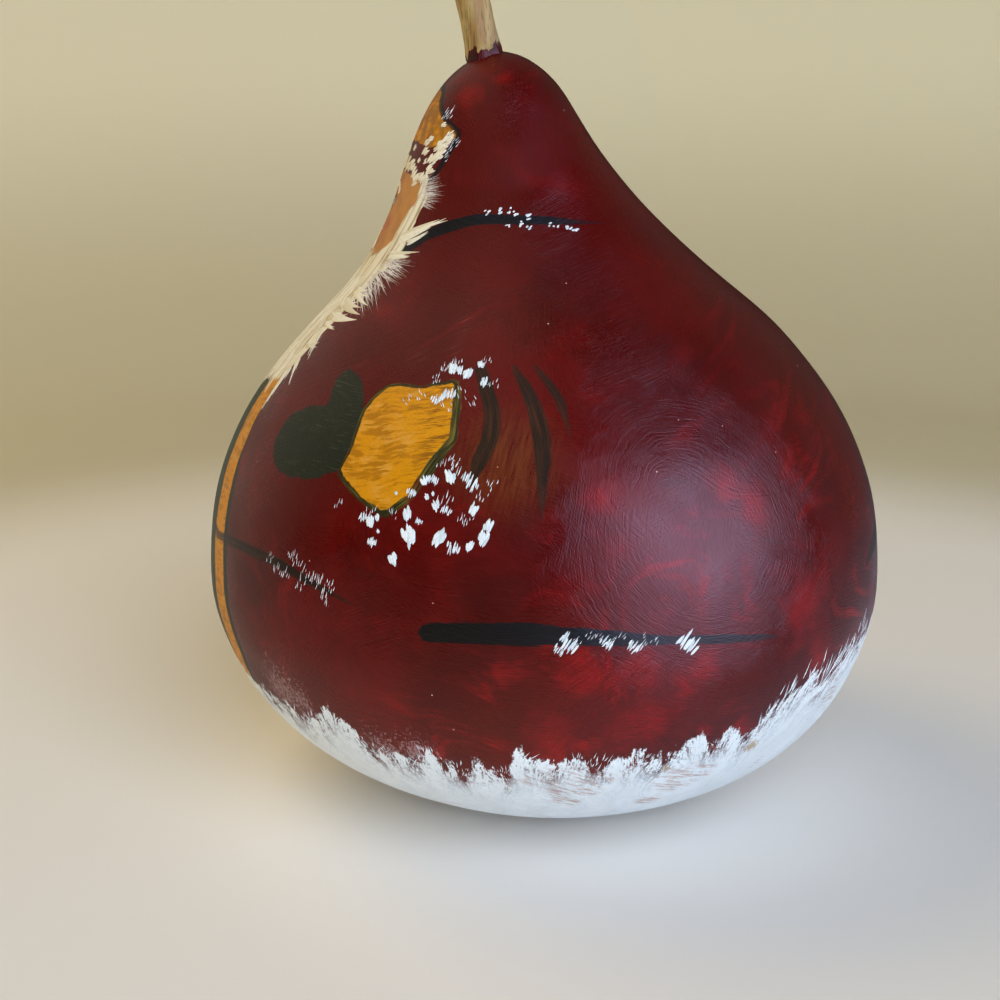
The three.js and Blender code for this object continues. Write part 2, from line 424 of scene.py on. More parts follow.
class Wire:
    """A socket in a node tree. Operators on it add Math nodes to that tree."""

    def __init__(self, tree, socket=None):
        self.tree = tree
        self.socket = socket

    def node(self, kind, settings=None, values=None, output=0):
        """Adds a node: its settings first, then the values or links of its sockets."""
        node = self.tree.nodes.new(kind)
        for name, value in (settings or {}).items():
            setattr(node, name, value)
        for name, value in (values or {}).items():
            if isinstance(value, Wire):
                self.tree.links.new(value.socket, node.inputs[name])
            else:
                node.inputs[name].default_value = value
        return Wire(self.tree, node.outputs[output])

    def math(self, operation, *terms):
        return self.node("ShaderNodeMath", {"operation": operation}, dict(enumerate(terms)))

    def vector(self, operation, *terms):
        return self.node("ShaderNodeVectorMath", {"operation": operation}, dict(enumerate(terms)))

    def __add__(self, other):
        return self.math("ADD", self, other)

    __radd__ = __add__

    def __sub__(self, other):
        return self.math("SUBTRACT", self, other)

    def __rsub__(self, other):
        return self.math("SUBTRACT", other, self)

    def __mul__(self, other):
        return self.math("MULTIPLY", self, other)

    __rmul__ = __mul__

    def __truediv__(self, other):
        return self.math("DIVIDE", self, other)

    def __rtruediv__(self, other):
        return self.math("DIVIDE", other, self)

    def __abs__(self):
        return self.math("ABSOLUTE", self)

    def __gt__(self, other):
        return self.math("GREATER_THAN", self, other)

    def larger(self, other):
        return self.math("MAXIMUM", self, other)

    def smooth(self, low, high):
        """0 at low and 1 at high, with a soft step between them."""
        steps = {"From Min": low, "From Max": high, "Value": self}
        return self.node("ShaderNodeMapRange", {"interpolation_type": "SMOOTHSTEP"}, steps)

    def mix(self, first, second):
        """A colour between two, by this share of the second."""
        settings = {"data_type": "RGBA", "clamp_factor": True}
        return self.node("ShaderNodeMix", settings, {0: self, 6: first, 7: second}, 2)

    def blend(self, first, second):
        """A number between two, by this share of the second."""
        return self.node("ShaderNodeMix", {"clamp_factor": True}, {0: self, 2: first, 3: second})

    def stretched(self, x, y, z):
        """Coordinates in which a length of x, y and z millimetres counts as one."""
        return self.vector("MULTIPLY", self, (1 / x, 1 / y, 1 / z))

    def turned(self, x, y, z):
        turn = [math.radians(angle) for angle in (x, y, z)]
        return self.node("ShaderNodeMapping", None, {"Vector": self, "Rotation": turn})

    def noise(self, length, detail, roughness=0.5):
        """Even noise, with detail down from a length."""
        values = {"Vector": self, "Scale": 1 / length, "Detail": detail, "Roughness": roughness}
        return self.node("ShaderNodeTexNoise", None, values)

    def attribute(self, name, output="Fac"):
        return self.node("ShaderNodeAttribute", {"attribute_name": name}, None, output)

    def other(self, output):
        """Another output of the same node."""
        return Wire(self.tree, self.socket.node.outputs[output])

    def shaken(self, amount, length):
        """Coordinates moved about by noise, by up to about half an amount."""
        values = {"Vector": self, "Scale": 1 / length, "Detail": 1.0}
        drift = self.node("ShaderNodeTexNoise", None, values, "Color")
        centred = self.vector("SUBTRACT", drift, (0.5, 0.5, 0.5))
        return self.vector("MULTIPLY_ADD", centred, (amount, amount, amount), self)

    def parts(self):
        """The three numbers of a vector."""
        return [self.node("ShaderNodeSeparateXYZ", None, {0: self}, i) for i in range(3)]


class Coats:
    """Paint in layers on one surface: its colour, roughness and height in millimetres."""

    def __init__(self, tint, roughness, height):
        self.tint = tint
        self.roughness = roughness
        self.height = height

    def lay(self, mask, tint, roughness):
        """Adds a coat where a mask covers."""
        self.tint = mask.mix(self.tint, tint)
        self.roughness = mask.blend(self.roughness, roughness)

    def finish(self, wire, shader):
        """Feeds the coats to a shader."""
        bump = wire.node("ShaderNodeBump", None, {"Height": self.height, "Distance": MM})
        for name, value in (("Base Color", self.tint), ("Roughness", self.roughness), ("Normal", bump)):
            wire.tree.links.new(value.socket, shader.inputs[name])


def new_material(name):
    """A material, a wire to start its nodes from, and its shader."""
    material = bpy.data.materials.new(name)
    material.use_nodes = True
    return material, Wire(material.node_tree), material.node_tree.nodes["Principled BSDF"]


def object_place(wire):
    """Object coordinates in millimetres."""
    place = wire.node("ShaderNodeTexCoord", None, None, "Object")
    return wire.vector("MULTIPLY", place, (1 / MM, 1 / MM, 1 / MM))


def geometry_tree(name, inputs):
    """A Geometry Nodes tree with a mesh in, a mesh out and named inputs."""
    tree = bpy.data.node_groups.new(name, "GeometryNodeTree")
    tree.interface.new_socket("Mesh", in_out="INPUT", socket_type="NodeSocketGeometry")
    for label, kind in inputs.items():
        tree.interface.new_socket(label, in_out="INPUT", socket_type="NodeSocket" + kind)
    tree.interface.new_socket("Mesh", in_out="OUTPUT", socket_type="NodeSocketGeometry")
    wire = Wire(tree)
    source = tree.nodes.new("NodeGroupInput")
    return wire, {socket.name: Wire(tree, socket) for socket in source.outputs}


def close_tree(mesh, material):
    """Ends a tree in its material and its output."""
    tree = mesh.tree
    made = mesh.node("GeometryNodeSetMaterial", None, {"Geometry": mesh, "Material": material})
    sink = tree.nodes.new("NodeGroupOutput")
    tree.links.new(made.socket, sink.inputs[0])
    return tree


def link(item):
    bpy.context.scene.collection.objects.link(item)
    return item


def run_tree(name, mesh, tree, values):
    """The plain mesh piece that a tree makes of a mesh."""
    source = link(bpy.data.objects.new(name + "_source", mesh))
    modifier = source.modifiers.new("shape", "NODES")
    modifier.node_group = tree
    for item in tree.interface.items_tree:
        if item.in_out == "INPUT" and item.name in values:
            modifier[item.identifier] = values[item.name]
    graph = bpy.context.evaluated_depsgraph_get()
    made = bpy.data.meshes.new_from_object(source.evaluated_get(graph), depsgraph=graph)
    made.name = name
    bpy.data.objects.remove(source)
    return link(bpy.data.objects.new(name, made))


# The camera, and places on the gourd

def camera_axes():
    """The camera's place, and its forward, right and up directions."""
    turn, pitch, yaw = (math.radians(angle) for angle in (CAMERA_TURN, CAMERA_PITCH, CAMERA_YAW))
    towards = Vector((math.sin(turn), -math.cos(turn), 0))
    across = Vector((math.cos(turn), math.sin(turn), 0))
    eye = (towards * EYE_DISTANCE + Vector((0, 0, EYE_HEIGHT))) * MM
    level = across * math.sin(yaw) - towards * math.cos(yaw)
    forward = level * math.cos(pitch) - Vector((0, 0, math.sin(pitch)))
    right = across * math.cos(yaw) + towards * math.sin(yaw)
    return eye, forward, right, right.cross(forward)


def add_camera():
    eye, forward, _, _ = camera_axes()
    data = bpy.data.cameras.new("photo_camera")
    data.sensor_width = SENSOR_WIDTH
    data.lens = SENSOR_WIDTH * FOCAL_PIXELS / PHOTO_PIXELS
    data.clip_start = CLIP_START * MM
    camera = link(bpy.data.objects.new("photo_camera", data))
    camera.location = eye
    camera.rotation_euler = forward.to_track_quat("-Z", "Y").to_euler()
    bpy.context.scene.camera = camera


class Skin:
    """The gourd's surface: finds places on it by pixel, by turn and height, or on its painted front."""

    def __init__(self, node, mesh):
        self.tree = BVHTree.FromPolygons([v.co for v in mesh.vertices], [p.vertices for p in mesh.polygons])
        self.rings = self.ring_table(node)

    @staticmethod
    def ring_table(node):
        """Each ring of the solid: its height, its middle and its radius."""
        flat = np.empty(len(node.data.vertices) * 3)
        node.data.vertices.foreach_get("co", flat)
        points = flat.reshape(-1, 3) / MM
        rows = []
        for height in np.unique(points[:, 2].round(1)):
            ring = points[np.abs(points[:, 2] - height) < 0.1]
            low, high = ring.min(0), ring.max(0)
            rows.append((height, *(low + high)[:2] / 2, (high - low)[:2].mean() / 2))
        return np.array(rows)

    def ring(self, height):
        """The middle and radius at a height, or at an array of heights."""
        return [np.interp(height, self.rings[:, 0], self.rings[:, i]) for i in (1, 2, 3)]

    def at_pixel(self, pixel):
        """The place that a pixel of the photograph shows, with the normal there."""
        eye, forward, right, up = camera_axes()
        x, y = (p - PHOTO_PIXELS / 2 for p in pixel)
        place, normal, _, _ = self.tree.ray_cast(eye, forward * FOCAL_PIXELS + right * x - up * y)
        return place, normal

    def at_turn(self, turn, height):
        """The place at an angle from the front and a height, with the normal there."""
        x, y, radius = self.ring(height)
        outward = Vector((math.sin(math.radians(turn)), -math.cos(math.radians(turn)), 0))
        start = (Vector((x, y, height)) + outward * (radius + SEARCH_START)) * MM
        place, normal, _, _ = self.tree.ray_cast(start, -outward)
        return place, normal

    def on_front(self, around, height):
        """The place at a distance round from the middle of the front and a height."""
        return self.at_turn(math.degrees(around / self.ring(height)[2]), height)


def smooth_samples(points, values, steps):
    """A smooth line through points, with values along it, as many steps to each stretch."""
    points = np.array(points, float)
    values = np.array(values, float)
    padded = np.vstack([2 * points[0] - points[1], points, 2 * points[-1] - points[-2]])
    line, along = [], []
    for i in range(len(points) - 1):
        a, b, c, d = padded[i:i + 4]
        for t in np.arange(0, 1, 1 / steps):
            line.append(0.5 * (2 * b + (c - a) * t + (2 * a - 5 * b + 4 * c - d) * t**2
                               + (3 * b - a - 3 * c + d) * t**3))
            along.append(values[i] + (values[i + 1] - values[i]) * t)
    return np.vstack([line, points[-1:]]), np.append(along, values[-1])


def outline_distance(points, outline):
    """Signed distance of flat points from a closed outline, less than zero inside it."""
    outline = np.array(outline, float)
    nearest = np.full(len(points), np.inf)
    inside = np.zeros(len(points), bool)
    for start, end in zip(outline, np.roll(outline, -1, 0)):
        edge = end - start
        share = np.clip(((points - start) @ edge) / (edge @ edge), 0, 1)
        nearest = np.minimum(nearest, np.hypot(*(points - start - share[:, None] * edge).T))
        spans = (start[1] > points[:, 1]) != (end[1] > points[:, 1])
        rise = edge[1] if edge[1] else 1e-9
        inside ^= spans & (points[:, 0] < start[0] + edge[0] * (points[:, 1] - start[1]) / rise)
    return np.where(inside, -nearest, nearest)


def patch_distance(points, skin, outline):
    """Signed distance of surface points from an outline of pixels, in the flat of the patch's middle."""
    found = [skin.at_pixel(pixel) for pixel in outline]
    corners = np.array([place for place, _ in found]) / MM
    normal = np.mean([n for _, n in found], axis=0)
    normal /= np.linalg.norm(normal)
    across = np.cross((0, 0, 1), normal)
    across /= np.linalg.norm(across)
    flat = np.stack([across, np.cross(normal, across)], 1)
    middle = corners.mean(0)
    distance = outline_distance((points - middle) @ flat, (corners - middle) @ flat)
    far = np.linalg.norm(points - middle, axis=1) > PATCH_REACH
    return np.where(far, PATCH_REACH, distance)


class Strokes:
    """For every surface point: how far along the nearest stroke and to one side of it, and its half width."""

    def __init__(self, count):
        self.field = np.zeros((count, 3))
        self.field[:, 2] = NO_STROKE

    def add(self, points, found, widths):
        """Adds a stroke that runs through places on the surface."""
        line = np.array([place for place, _ in found]) / MM
        normals = np.array([normal for _, normal in found])
        near = np.all((points > line.min(0) - STROKE_REACH) & (points < line.max(0) + STROKE_REACH), axis=1)
        rows = np.flatnonzero(near)
        ahead = np.gradient(line, axis=0)
        ahead /= np.linalg.norm(ahead, axis=1)[:, None]
        aside = np.cross(normals, ahead)
        run = np.append(0, np.cumsum(np.linalg.norm(np.diff(line, axis=0), axis=1)))
        close = np.linalg.norm(points[rows][:, None] - line[None], axis=2).argmin(1)
        offset = points[rows] - line[close]
        along = run[close] + (offset * ahead[close]).sum(1)
        across = (offset * aside[close]).sum(1)
        past = np.maximum(np.maximum(-along, along - run[-1]), 0)
        half = np.asarray(widths)[close] / 2
        round_end = np.sqrt(np.maximum(half**2 - past**2, 0))
        half = np.where(past < half, round_end, half - past)
        better = half - np.abs(across) > self.field[rows, 2] - np.abs(self.field[rows, 1])
        better &= np.abs(across) < half + STROKE_MARGIN
        self.field[rows[better]] = np.stack([along, across, half], 1)[better]

    def add_routes(self, points, routes, place):
        """Adds strokes whose routes a function turns into places."""
        for route, widths in routes:
            line, sampled = smooth_samples(route, widths, STROKE_STEPS)
            self.add(points, [place(step) for step in line], sampled)


def mirrored(points):
    """Where points of the far side lie on the side that the photograph shows."""
    turn = math.radians(MIRROR_TURN)
    x = -points[:, 0]
    y = points[:, 1]
    return np.stack([
        x * math.cos(turn) - y * math.sin(turn),
        x * math.sin(turn) + y * math.cos(turn),
        points[:, 2] + MIRROR_DROP,
    ], 1)


def both_halves(half):
    """A closed outline from its right half."""
    return half + [(-x, y) for x, y in reversed(half) if x > 0]


# The body

def quad_mesh(node, name):
    """A node's mesh with its points merged and its triangles paired."""
    mesh = bpy.data.meshes.new(name)
    shape = bmesh.new()
    shape.from_mesh(node.data)
    bmesh.ops.remove_doubles(shape, verts=shape.verts, dist=MERGE_DISTANCE * MM)
    bend, skew = (math.radians(angle) for angle in PAIRING_ANGLES)
    bmesh.ops.join_triangles(
        shape, faces=shape.faces, angle_face_threshold=bend, angle_shape_threshold=skew)
    shape.to_mesh(mesh)
    shape.free()
    return mesh


def grown_tree():
    """Rounds a solid's facets off and gives it the shallow dents or grooves that it grew with."""
    inputs = {"Level": "Int", "Depth": "Float", "Grain": "Vector", "Paint": "Material"}
    wire, given = geometry_tree("grown_skin", inputs)
    angle = wire.node("GeometryNodeInputMeshEdgeAngle")
    shape = {"Mesh": given["Mesh"], "Level": given["Level"], "Edge Crease": angle.smooth(*SHARP_EDGE)}
    fine = wire.node("GeometryNodeSubdivisionSurface", None, shape)
    place = wire.node("GeometryNodeInputPosition")
    coarse = wire.vector("DIVIDE", place, given["Grain"])
    dents = wire.node("ShaderNodeTexNoise", None, {"Vector": coarse, "Scale": 1.0, "Detail": 1.0})
    normal = wire.node("GeometryNodeInputNormal")
    lift = (dents - 0.5) * given["Depth"]
    offset = wire.node("ShaderNodeVectorMath", {"operation": "SCALE"}, {"Vector": normal, "Scale": lift})
    bent = wire.node("GeometryNodeSetPosition", None, {"Geometry": fine, "Offset": offset})
    smooth = wire.node("GeometryNodeSetShadeSmooth", None, {"Geometry": bent})
    return close_tree(smooth, given["Paint"])


def grown_piece(name, cage, tree, depth, grain, material):
    """A piece grown from a solid's cage."""
    lengths = [length * MM for length in grain]
    values = {"Level": SKIN_LEVEL, "Depth": depth * MM, "Grain": lengths, "Paint": material}
    return run_tree(name, cage, tree, values)


def mesh_points(mesh):
    """A mesh's points, in millimetres."""
    flat = np.empty(len(mesh.vertices) * 3)
    mesh.vertices.foreach_get("co", flat)
    return flat.reshape(-1, 3) / MM


def store(mesh, name, values):
    """Keeps one number or one vector for each point of a mesh."""
    kind, key = ("FLOAT", "value") if values.ndim == 1 else ("FLOAT_VECTOR", "vector")
    attribute = mesh.attributes.new(name, kind, "POINT")
    attribute.data.foreach_set(key, values.astype(np.float32).ravel())


def mark_distance(points, far_side, skin, marks):
    """How far points lie from the nearest of some round marks, which reach to 1, on either side."""
    nearest = np.full(len(points), MARK_FAR)
    for pixel, reach in marks:
        middle = np.array(skin.at_pixel(pixel)[0]) / MM
        for side in (points, far_side):
            nearest = np.minimum(nearest, np.linalg.norm(side - middle, axis=1) / reach)
    return nearest


def stroke_fields(skin, points, far_side):
    """Fold strokes on both sides, those behind, and those that cross the front."""
    both_sides = (points, points * (-1, 1, 1))
    fields = {}
    for name, routes in zip(STROKE_FIELDS, (FOLD_STROKES, LIGHT_STROKES, MIDDLE_STROKES)):
        strokes = Strokes(len(points))
        strokes.add_routes(points, routes, skin.at_pixel)
        strokes.add_routes(far_side, routes, skin.at_pixel)
        if name == "fold":
            strokes.add_routes(points, FAR_STROKES, lambda step: skin.at_turn(*step))
        for side in both_sides:
            if name == "fold":
                strokes.add_routes(side, [HOOD_LINE], lambda step: skin.on_front(*step))
            if name == "light_fold":
                strokes.add_routes(side, [SASH_FRONT], lambda step: skin.at_turn(*step))
        fields[name] = strokes.field
    return fields


def mark_fields(skin, points, far_side):
    """Distances from the round marks and patches."""
    marks = {
        "sleeve": [[(SLEEVE_MIDDLE, SLEEVE_HALF_SIZE)]],
        "hem_marks": [HEM_STIPPLE, HEM_SPOTS, HEM_SCRATCHES],
        "patches": [FRESH_AND_LIT_PATCHES, DEEP_AND_SHADED_PATCHES, [(SWIRL_MIDDLE, SWIRL_REACH)]],
    }
    fields = {}
    for name, groups in marks.items():
        distances = [mark_distance(points, far_side, skin, group) for group in groups]
        fields[name] = np.stack(distances, 1).squeeze()
    return fields


def painted_over(fields):
    """1 where anything is painted over the robe, with room for its brushed edges, and 0 where nothing is."""
    over = np.zeros(len(fields["hem"]), bool)
    for name, reach in PAINT_REACH.items():
        over |= fields[name] < reach
    for column, reach in enumerate(HEM_MARK_REACH):
        over |= fields["hem_marks"][:, column] < reach
    for name in STROKE_FIELDS:
        over |= fields[name][:, 2] > NO_STROKE
    return over.astype(float)


def store_fields(mesh, skin):
    """Works out where every painted shape lies on the body."""
    points = mesh_points(mesh)
    far_side = mirrored(points)
    x, y, _ = skin.ring(points[:, 2])
    turn = np.abs(np.degrees(np.arctan2(points[:, 0] - x, y - points[:, 1])))
    around = np.radians(turn) * np.hypot(points[:, 0] - x, points[:, 1] - y)
    front = np.stack([around, points[:, 2]], 1)
    fields = {"front": np.stack([around, points[:, 2], turn], 1)}
    for name, outline in (("mitten", MITTEN_OUTLINE), ("cuff", CUFF_OUTLINE), ("cuff_band", CUFF_BAND)):
        near = patch_distance(points, skin, outline)
        fields[name] = np.minimum(near, patch_distance(far_side, skin, outline))
    for name, half in (("beard", BEARD_HALF), ("face", FACE_HALF), ("hood", HOOD_HALF)):
        fields[name] = outline_distance(front, both_halves(half))
    fields["hem_zone"] = (points[:, 2] < HEM_BELOW).astype(float)
    start, end = (skin.at_pixel(pixel)[0].y / MM for pixel in CUFF_LINES)
    fields["cuff_lines"] = (points[:, 1] - start) / (end - start)
    heights, edges = np.array(TRIM_EDGE, float).T
    fields["trim"] = around - np.interp(points[:, 2], heights, edges)
    turns, levels = np.array(HEM_EDGE, float).T
    fields["hem"] = points[:, 2] - np.interp(turn, turns, levels)
    fields.update(mark_fields(skin, points, far_side))
    fields.update(stroke_fields(skin, points, far_side))
    fields["painted_over"] = painted_over(fields)
    for name, values in fields.items():
        store(mesh, name, values)


def brushed(wire, place, flat, length, width):
    """Streaks along the brush, which ran one way or another, and in one place round and round."""
    ways = [flat.turned(0, 0, turn).stretched(length, width, 1).noise(1, 3, 0.65) for turn in BRUSH_TURNS]
    first = place.turned(20, 0, 0).noise(36, 1).smooth(0.43, 0.53)
    second = place.turned(0, 60, 0).noise(42, 1).smooth(0.49, 0.59)
    straight = second.blend(first.blend(ways[0], ways[1]), ways[2])
    swirl = wire.attribute("patches", "Vector").parts()[2] + (place.noise(40, 0) - 0.5) * 0.5
    _, y, z = place.parts()
    line = swirl * (SWIRL_REACH / width) + (place.noise(5, 1) - 0.5) * 5
    ring = {0: line, 1: y / length, 2: z / length}
    arcs = wire.node("ShaderNodeCombineXYZ", None, ring).noise(1, 3, 0.65)
    near = swirl + (place.noise(9, 1) - 0.5) * 0.8
    return (near.smooth(1.0, 0.8) * near.smooth(0.35, 0.6)).blend(straight, arcs)


def red_coats(wire, place):
    """Dark red paint, brushed on unevenly under a satin varnish, with painted light that makes it brighter
    low down and on the side that the window lights, and patches of brighter and darker red that are partly
    uneven paint and partly painted light and shade.
    """
    flat = wire.vector("MULTIPLY", wire.attribute("front", "Vector"), (1, 1, 0)).shaken(16, 45)
    streak = brushed(wire, place, flat, 9, 0.34)
    second = flat.turned(0, 0, 30).stretched(5, 0.24, 1).noise(1, 2, 0.65)
    bands = flat.turned(0, 0, 6).stretched(34, 10, 1).noise(1, 3, 0.65)
    height = place.parts()[2]
    turn = wire.attribute("front", "Vector").parts()[2]
    # Painted light: this share grows low down and on the side that the window lights, and it brightens the
    # broad mottling, the fresh streaks and the bright dabs there.
    low = height.smooth(125, 75) * turn.smooth(50, 95).blend(0.35, 1.0)
    broad = place.noise(48, 2, 0.55).smooth(0.38, 0.64) * low.blend(0.45, 1.0)
    brown = place.turned(40, 0, 70).noise(60, 1).smooth(0.46, 0.62)
    tint = broad.mix(colour(RED_DEEP), colour(RED_MID))
    tint = (brown * 0.6).mix(tint, colour(RED_BROWN))
    fresh_and_lit_red = bands.smooth(0.46, 0.7) * place.turned(0, 50, 20).noise(27, 2, 0.6).smooth(0.4, 0.66)
    fresh_and_lit_red = fresh_and_lit_red * streak.smooth(0.1, 0.65) * low.blend(0.3, 0.85)
    tint = fresh_and_lit_red.mix(tint, colour(RED_BRIGHT))
    dabs = place.noise(9, 4, 0.7).smooth(0.6, 0.76) * place.noise(40, 1).smooth(0.42, 0.6)
    tint = (dabs * low.blend(0.2, 0.55)).mix(tint, colour(RED_BRIGHT))
    patches = wire.attribute("patches", "Vector").parts()
    ragged = (streak - 0.5) * 0.5 + (place.noise(8, 2, 0.6) - 0.5) * 1.6
    # Darker red in the deep patches: partly deep paint and partly painted shade.
    tint = ((patches[1] + ragged).smooth(1.0, 0.1) * 0.5).mix(tint, colour(RED_DARK))
    # Brighter red in the fresh patches: partly fresh paint and partly painted light.
    bright = (patches[0] + ragged).smooth(1.0, 0.0) * streak.smooth(0.3, 0.6).blend(0.2, 0.6)
    tint = bright.mix(tint, colour(RED_BRIGHT))
    tint = (streak.smooth(0.5, 0.3) * 0.4).mix(tint, colour(RED_DEEP))
    roughness = 0.15 + streak * 0.14 + second * 0.08 + place.noise(17, 1).smooth(0.35, 0.65) * 0.1
    grain = streak * 0.1 + second * 0.07
    coats = Coats(tint, roughness, grain)
    lay_wear(wire, place, coats, streak)
    return coats


def lay_wear(wire, place, coats, streak):
    """Dust specks, pale scuffs and hairline scratches."""
    dots = wire.node("ShaderNodeTexVoronoi", None, {"Vector": place, "Scale": 1 / SPECK_STEP}, "Distance")
    picked = dots.other("Color").parts()[0] * place.noise(19, 1)
    speck = (dots * SPECK_STEP).smooth(SPECK_REACH, SPECK_REACH * 0.6) * (picked > SPECK_RARITY)
    coats.lay(speck, colour(DUST_PALE), 0.6)
    worn = place.turned(30, 10, 0).noise(22, 3).smooth(0.65, 0.72)
    coats.lay(worn * streak.smooth(0.58, 0.68) * 0.4, colour(SCUFF_PINK), 0.5)
    hair = abs(place.turned(70, 0, 15).noise(24, 1) - 0.5).smooth(0.0026, 0.0008)
    coats.lay(hair * place.noise(31, 1).smooth(0.6, 0.64) * 0.7, colour(RED_DEEP), 0.5)


def stroke_mask(wire, place, name, soft):
    """Where painted strokes cover, with brushed edges and ends, and the bristle streaks along them."""
    along, across, half = wire.attribute(name, "Vector").parts()
    grain = wire.node("ShaderNodeCombineXYZ", None, {0: along / 11, 1: across / 0.5, 2: along / 60})
    bristle = grain.noise(1, 2, 0.6)
    ragged = half.larger(0.0) * (bristle - 0.5) + (place.noise(2.5, 2) - 0.5) * half.smooth(0.2, 1.4) * 0.6
    edge = half - abs(across) + ragged * 0.8
    thin = half.smooth(0.1, 1.4).blend(0.6, 1.0)
    return edge.smooth(-0.1 - soft, 0.25 + soft) * thin, bristle


def lay_folds(wire, place, coats):
    """The sleeve's thin paint, the dark fold strokes and the hairline cracks."""
    grain = place.turned(12, 0, 0).stretched(5, 0.9, 9).noise(1, 3, 0.6)
    thin = wire.attribute("sleeve").smooth(1.0, 0.1) * grain.smooth(0.2, 0.7)
    coats.lay(thin * 0.55, colour(SLEEVE_BROWN), 0.4)
    tone = place.noise(30, 1).smooth(0.4, 0.6)
    black = tone.mix(colour(STROKE_BLACK), colour(STROKE_BLUE))
    mask, bristle = stroke_mask(wire, place, "fold", 0.0)
    coats.lay(mask * bristle.smooth(0.18, 0.4).blend(0.86, 1.0), black, 0.36)
    for name in ("light_fold", "middle_fold"):
        mask, bristle = stroke_mask(wire, place, name, 0.2)
        olive = bristle.smooth(0.45, 0.75).mix(colour(STROKE_OLIVE), colour(STROKE_PALE))
        coats.lay(mask * bristle.smooth(0.75, 0.45).blend(0.7, 0.95), olive, 0.38)


def ochre_tint(place):
    """Ochre paint, streaked from dark to pale along the brush."""
    along = place.turned(-14, 0, 0).shaken(3, 9)
    streak = along.stretched(6, 6, 0.8).noise(1, 4, 0.6)
    cloud = place.noise(7, 3, 0.65)
    dark = (streak * 0.6 + cloud * 0.4).smooth(0.48, 0.6)
    tint = dark.mix(colour(OCHRE), colour(OCHRE_DARK))
    fine = along.stretched(4, 4, 0.3).noise(1, 2, 0.6).smooth(0.56, 0.68)
    tint = (fine * 0.5).mix(tint, colour(OCHRE_DARK))
    pale = place.turned(0, 30, 60).noise(9, 3).smooth(0.52, 0.64) * streak.smooth(0.54, 0.4)
    return (pale * 0.5).mix(tint, colour(OCHRE_PALE))


def lay_arm(wire, place, coats, ochre):
    """The mitten and the ochre cuff, with its dark edge."""
    rough = (place.noise(2.4, 3) - 0.5) * 1.6
    dry = place.stretched(6, 6, 0.4).noise(1, 2).smooth(0.56, 0.72) * place.noise(8, 2).smooth(0.4, 0.6)
    mitten = (dry * 0.6).mix(colour(MITTEN_DARK), colour(MITTEN_WORN))
    coats.lay((wire.attribute("mitten") + rough).smooth(0.25, -0.25), mitten, 0.42)
    band = (wire.attribute("cuff_band") + rough * 0.6).smooth(0.3, -0.3)
    x, y, _ = place.parts()
    lines = wire.node("ShaderNodeCombineXYZ", None, {0: wire.attribute("cuff") / 0.45, 1: x / 9, 2: y / 9})
    olive = (lines.noise(1, 2, 0.6).smooth(0.48, 0.66) * 0.8).mix(colour(OLIVE_LINE), colour(OLIVE_PALE))
    coats.lay(band * place.noise(9, 2).smooth(0.28, 0.42), olive, 0.4)
    cuff = wire.attribute("cuff") + rough * 0.6
    ticks = place.turned(-10, 0, 0).stretched(6, 6, 0.42).noise(1, 2).smooth(0.53, 0.6)
    lined = (ticks * wire.attribute("cuff_lines").smooth(-0.6, 1.0) * 0.75).mix(ochre, colour(OCHRE_BROWN))
    coats.lay(cuff.smooth(0.2, -0.2), lined, 0.32)


def lay_front(wire, place, coats, ochre):
    """The green robe between its ochre trims, down the front under the beard."""
    flat = wire.attribute("front", "Vector")
    height = flat.parts()[1]
    wave = (place.noise(5, 3) - 0.5) * 1.4
    trim = wire.attribute("trim") + wave
    below = height.smooth(131, 127)
    line = height.smooth(*TRIM_LINE_HEIGHTS).blend(*TRIM_LINES)
    smear = place.stretched(1.5, 1.5, 9).noise(1, 3, 0.6).smooth(0.54, 0.66) * 0.7
    streak = place.stretched(1.2, 1.2, 18).noise(1, 2)
    green = streak.smooth(0.35, 0.65).mix(colour(ROBE_GREEN_DEEP), colour(ROBE_GREEN))
    coats.lay((trim - line).smooth(0.3, -0.3) * below, colour(MITTEN_DARK), 0.4)
    coats.lay(trim.smooth(0.3, -0.3) * below, smear.mix(ochre, colour(OCHRE_PALE)), 0.46)
    coats.lay((trim + TRIM_WIDTH).smooth(0.3, -0.3) * below, colour(OLIVE_LINE), 0.4)
    coats.lay((trim + TRIM_WIDTH + 1.0).smooth(0.3, -0.3) * below, green, 0.42)


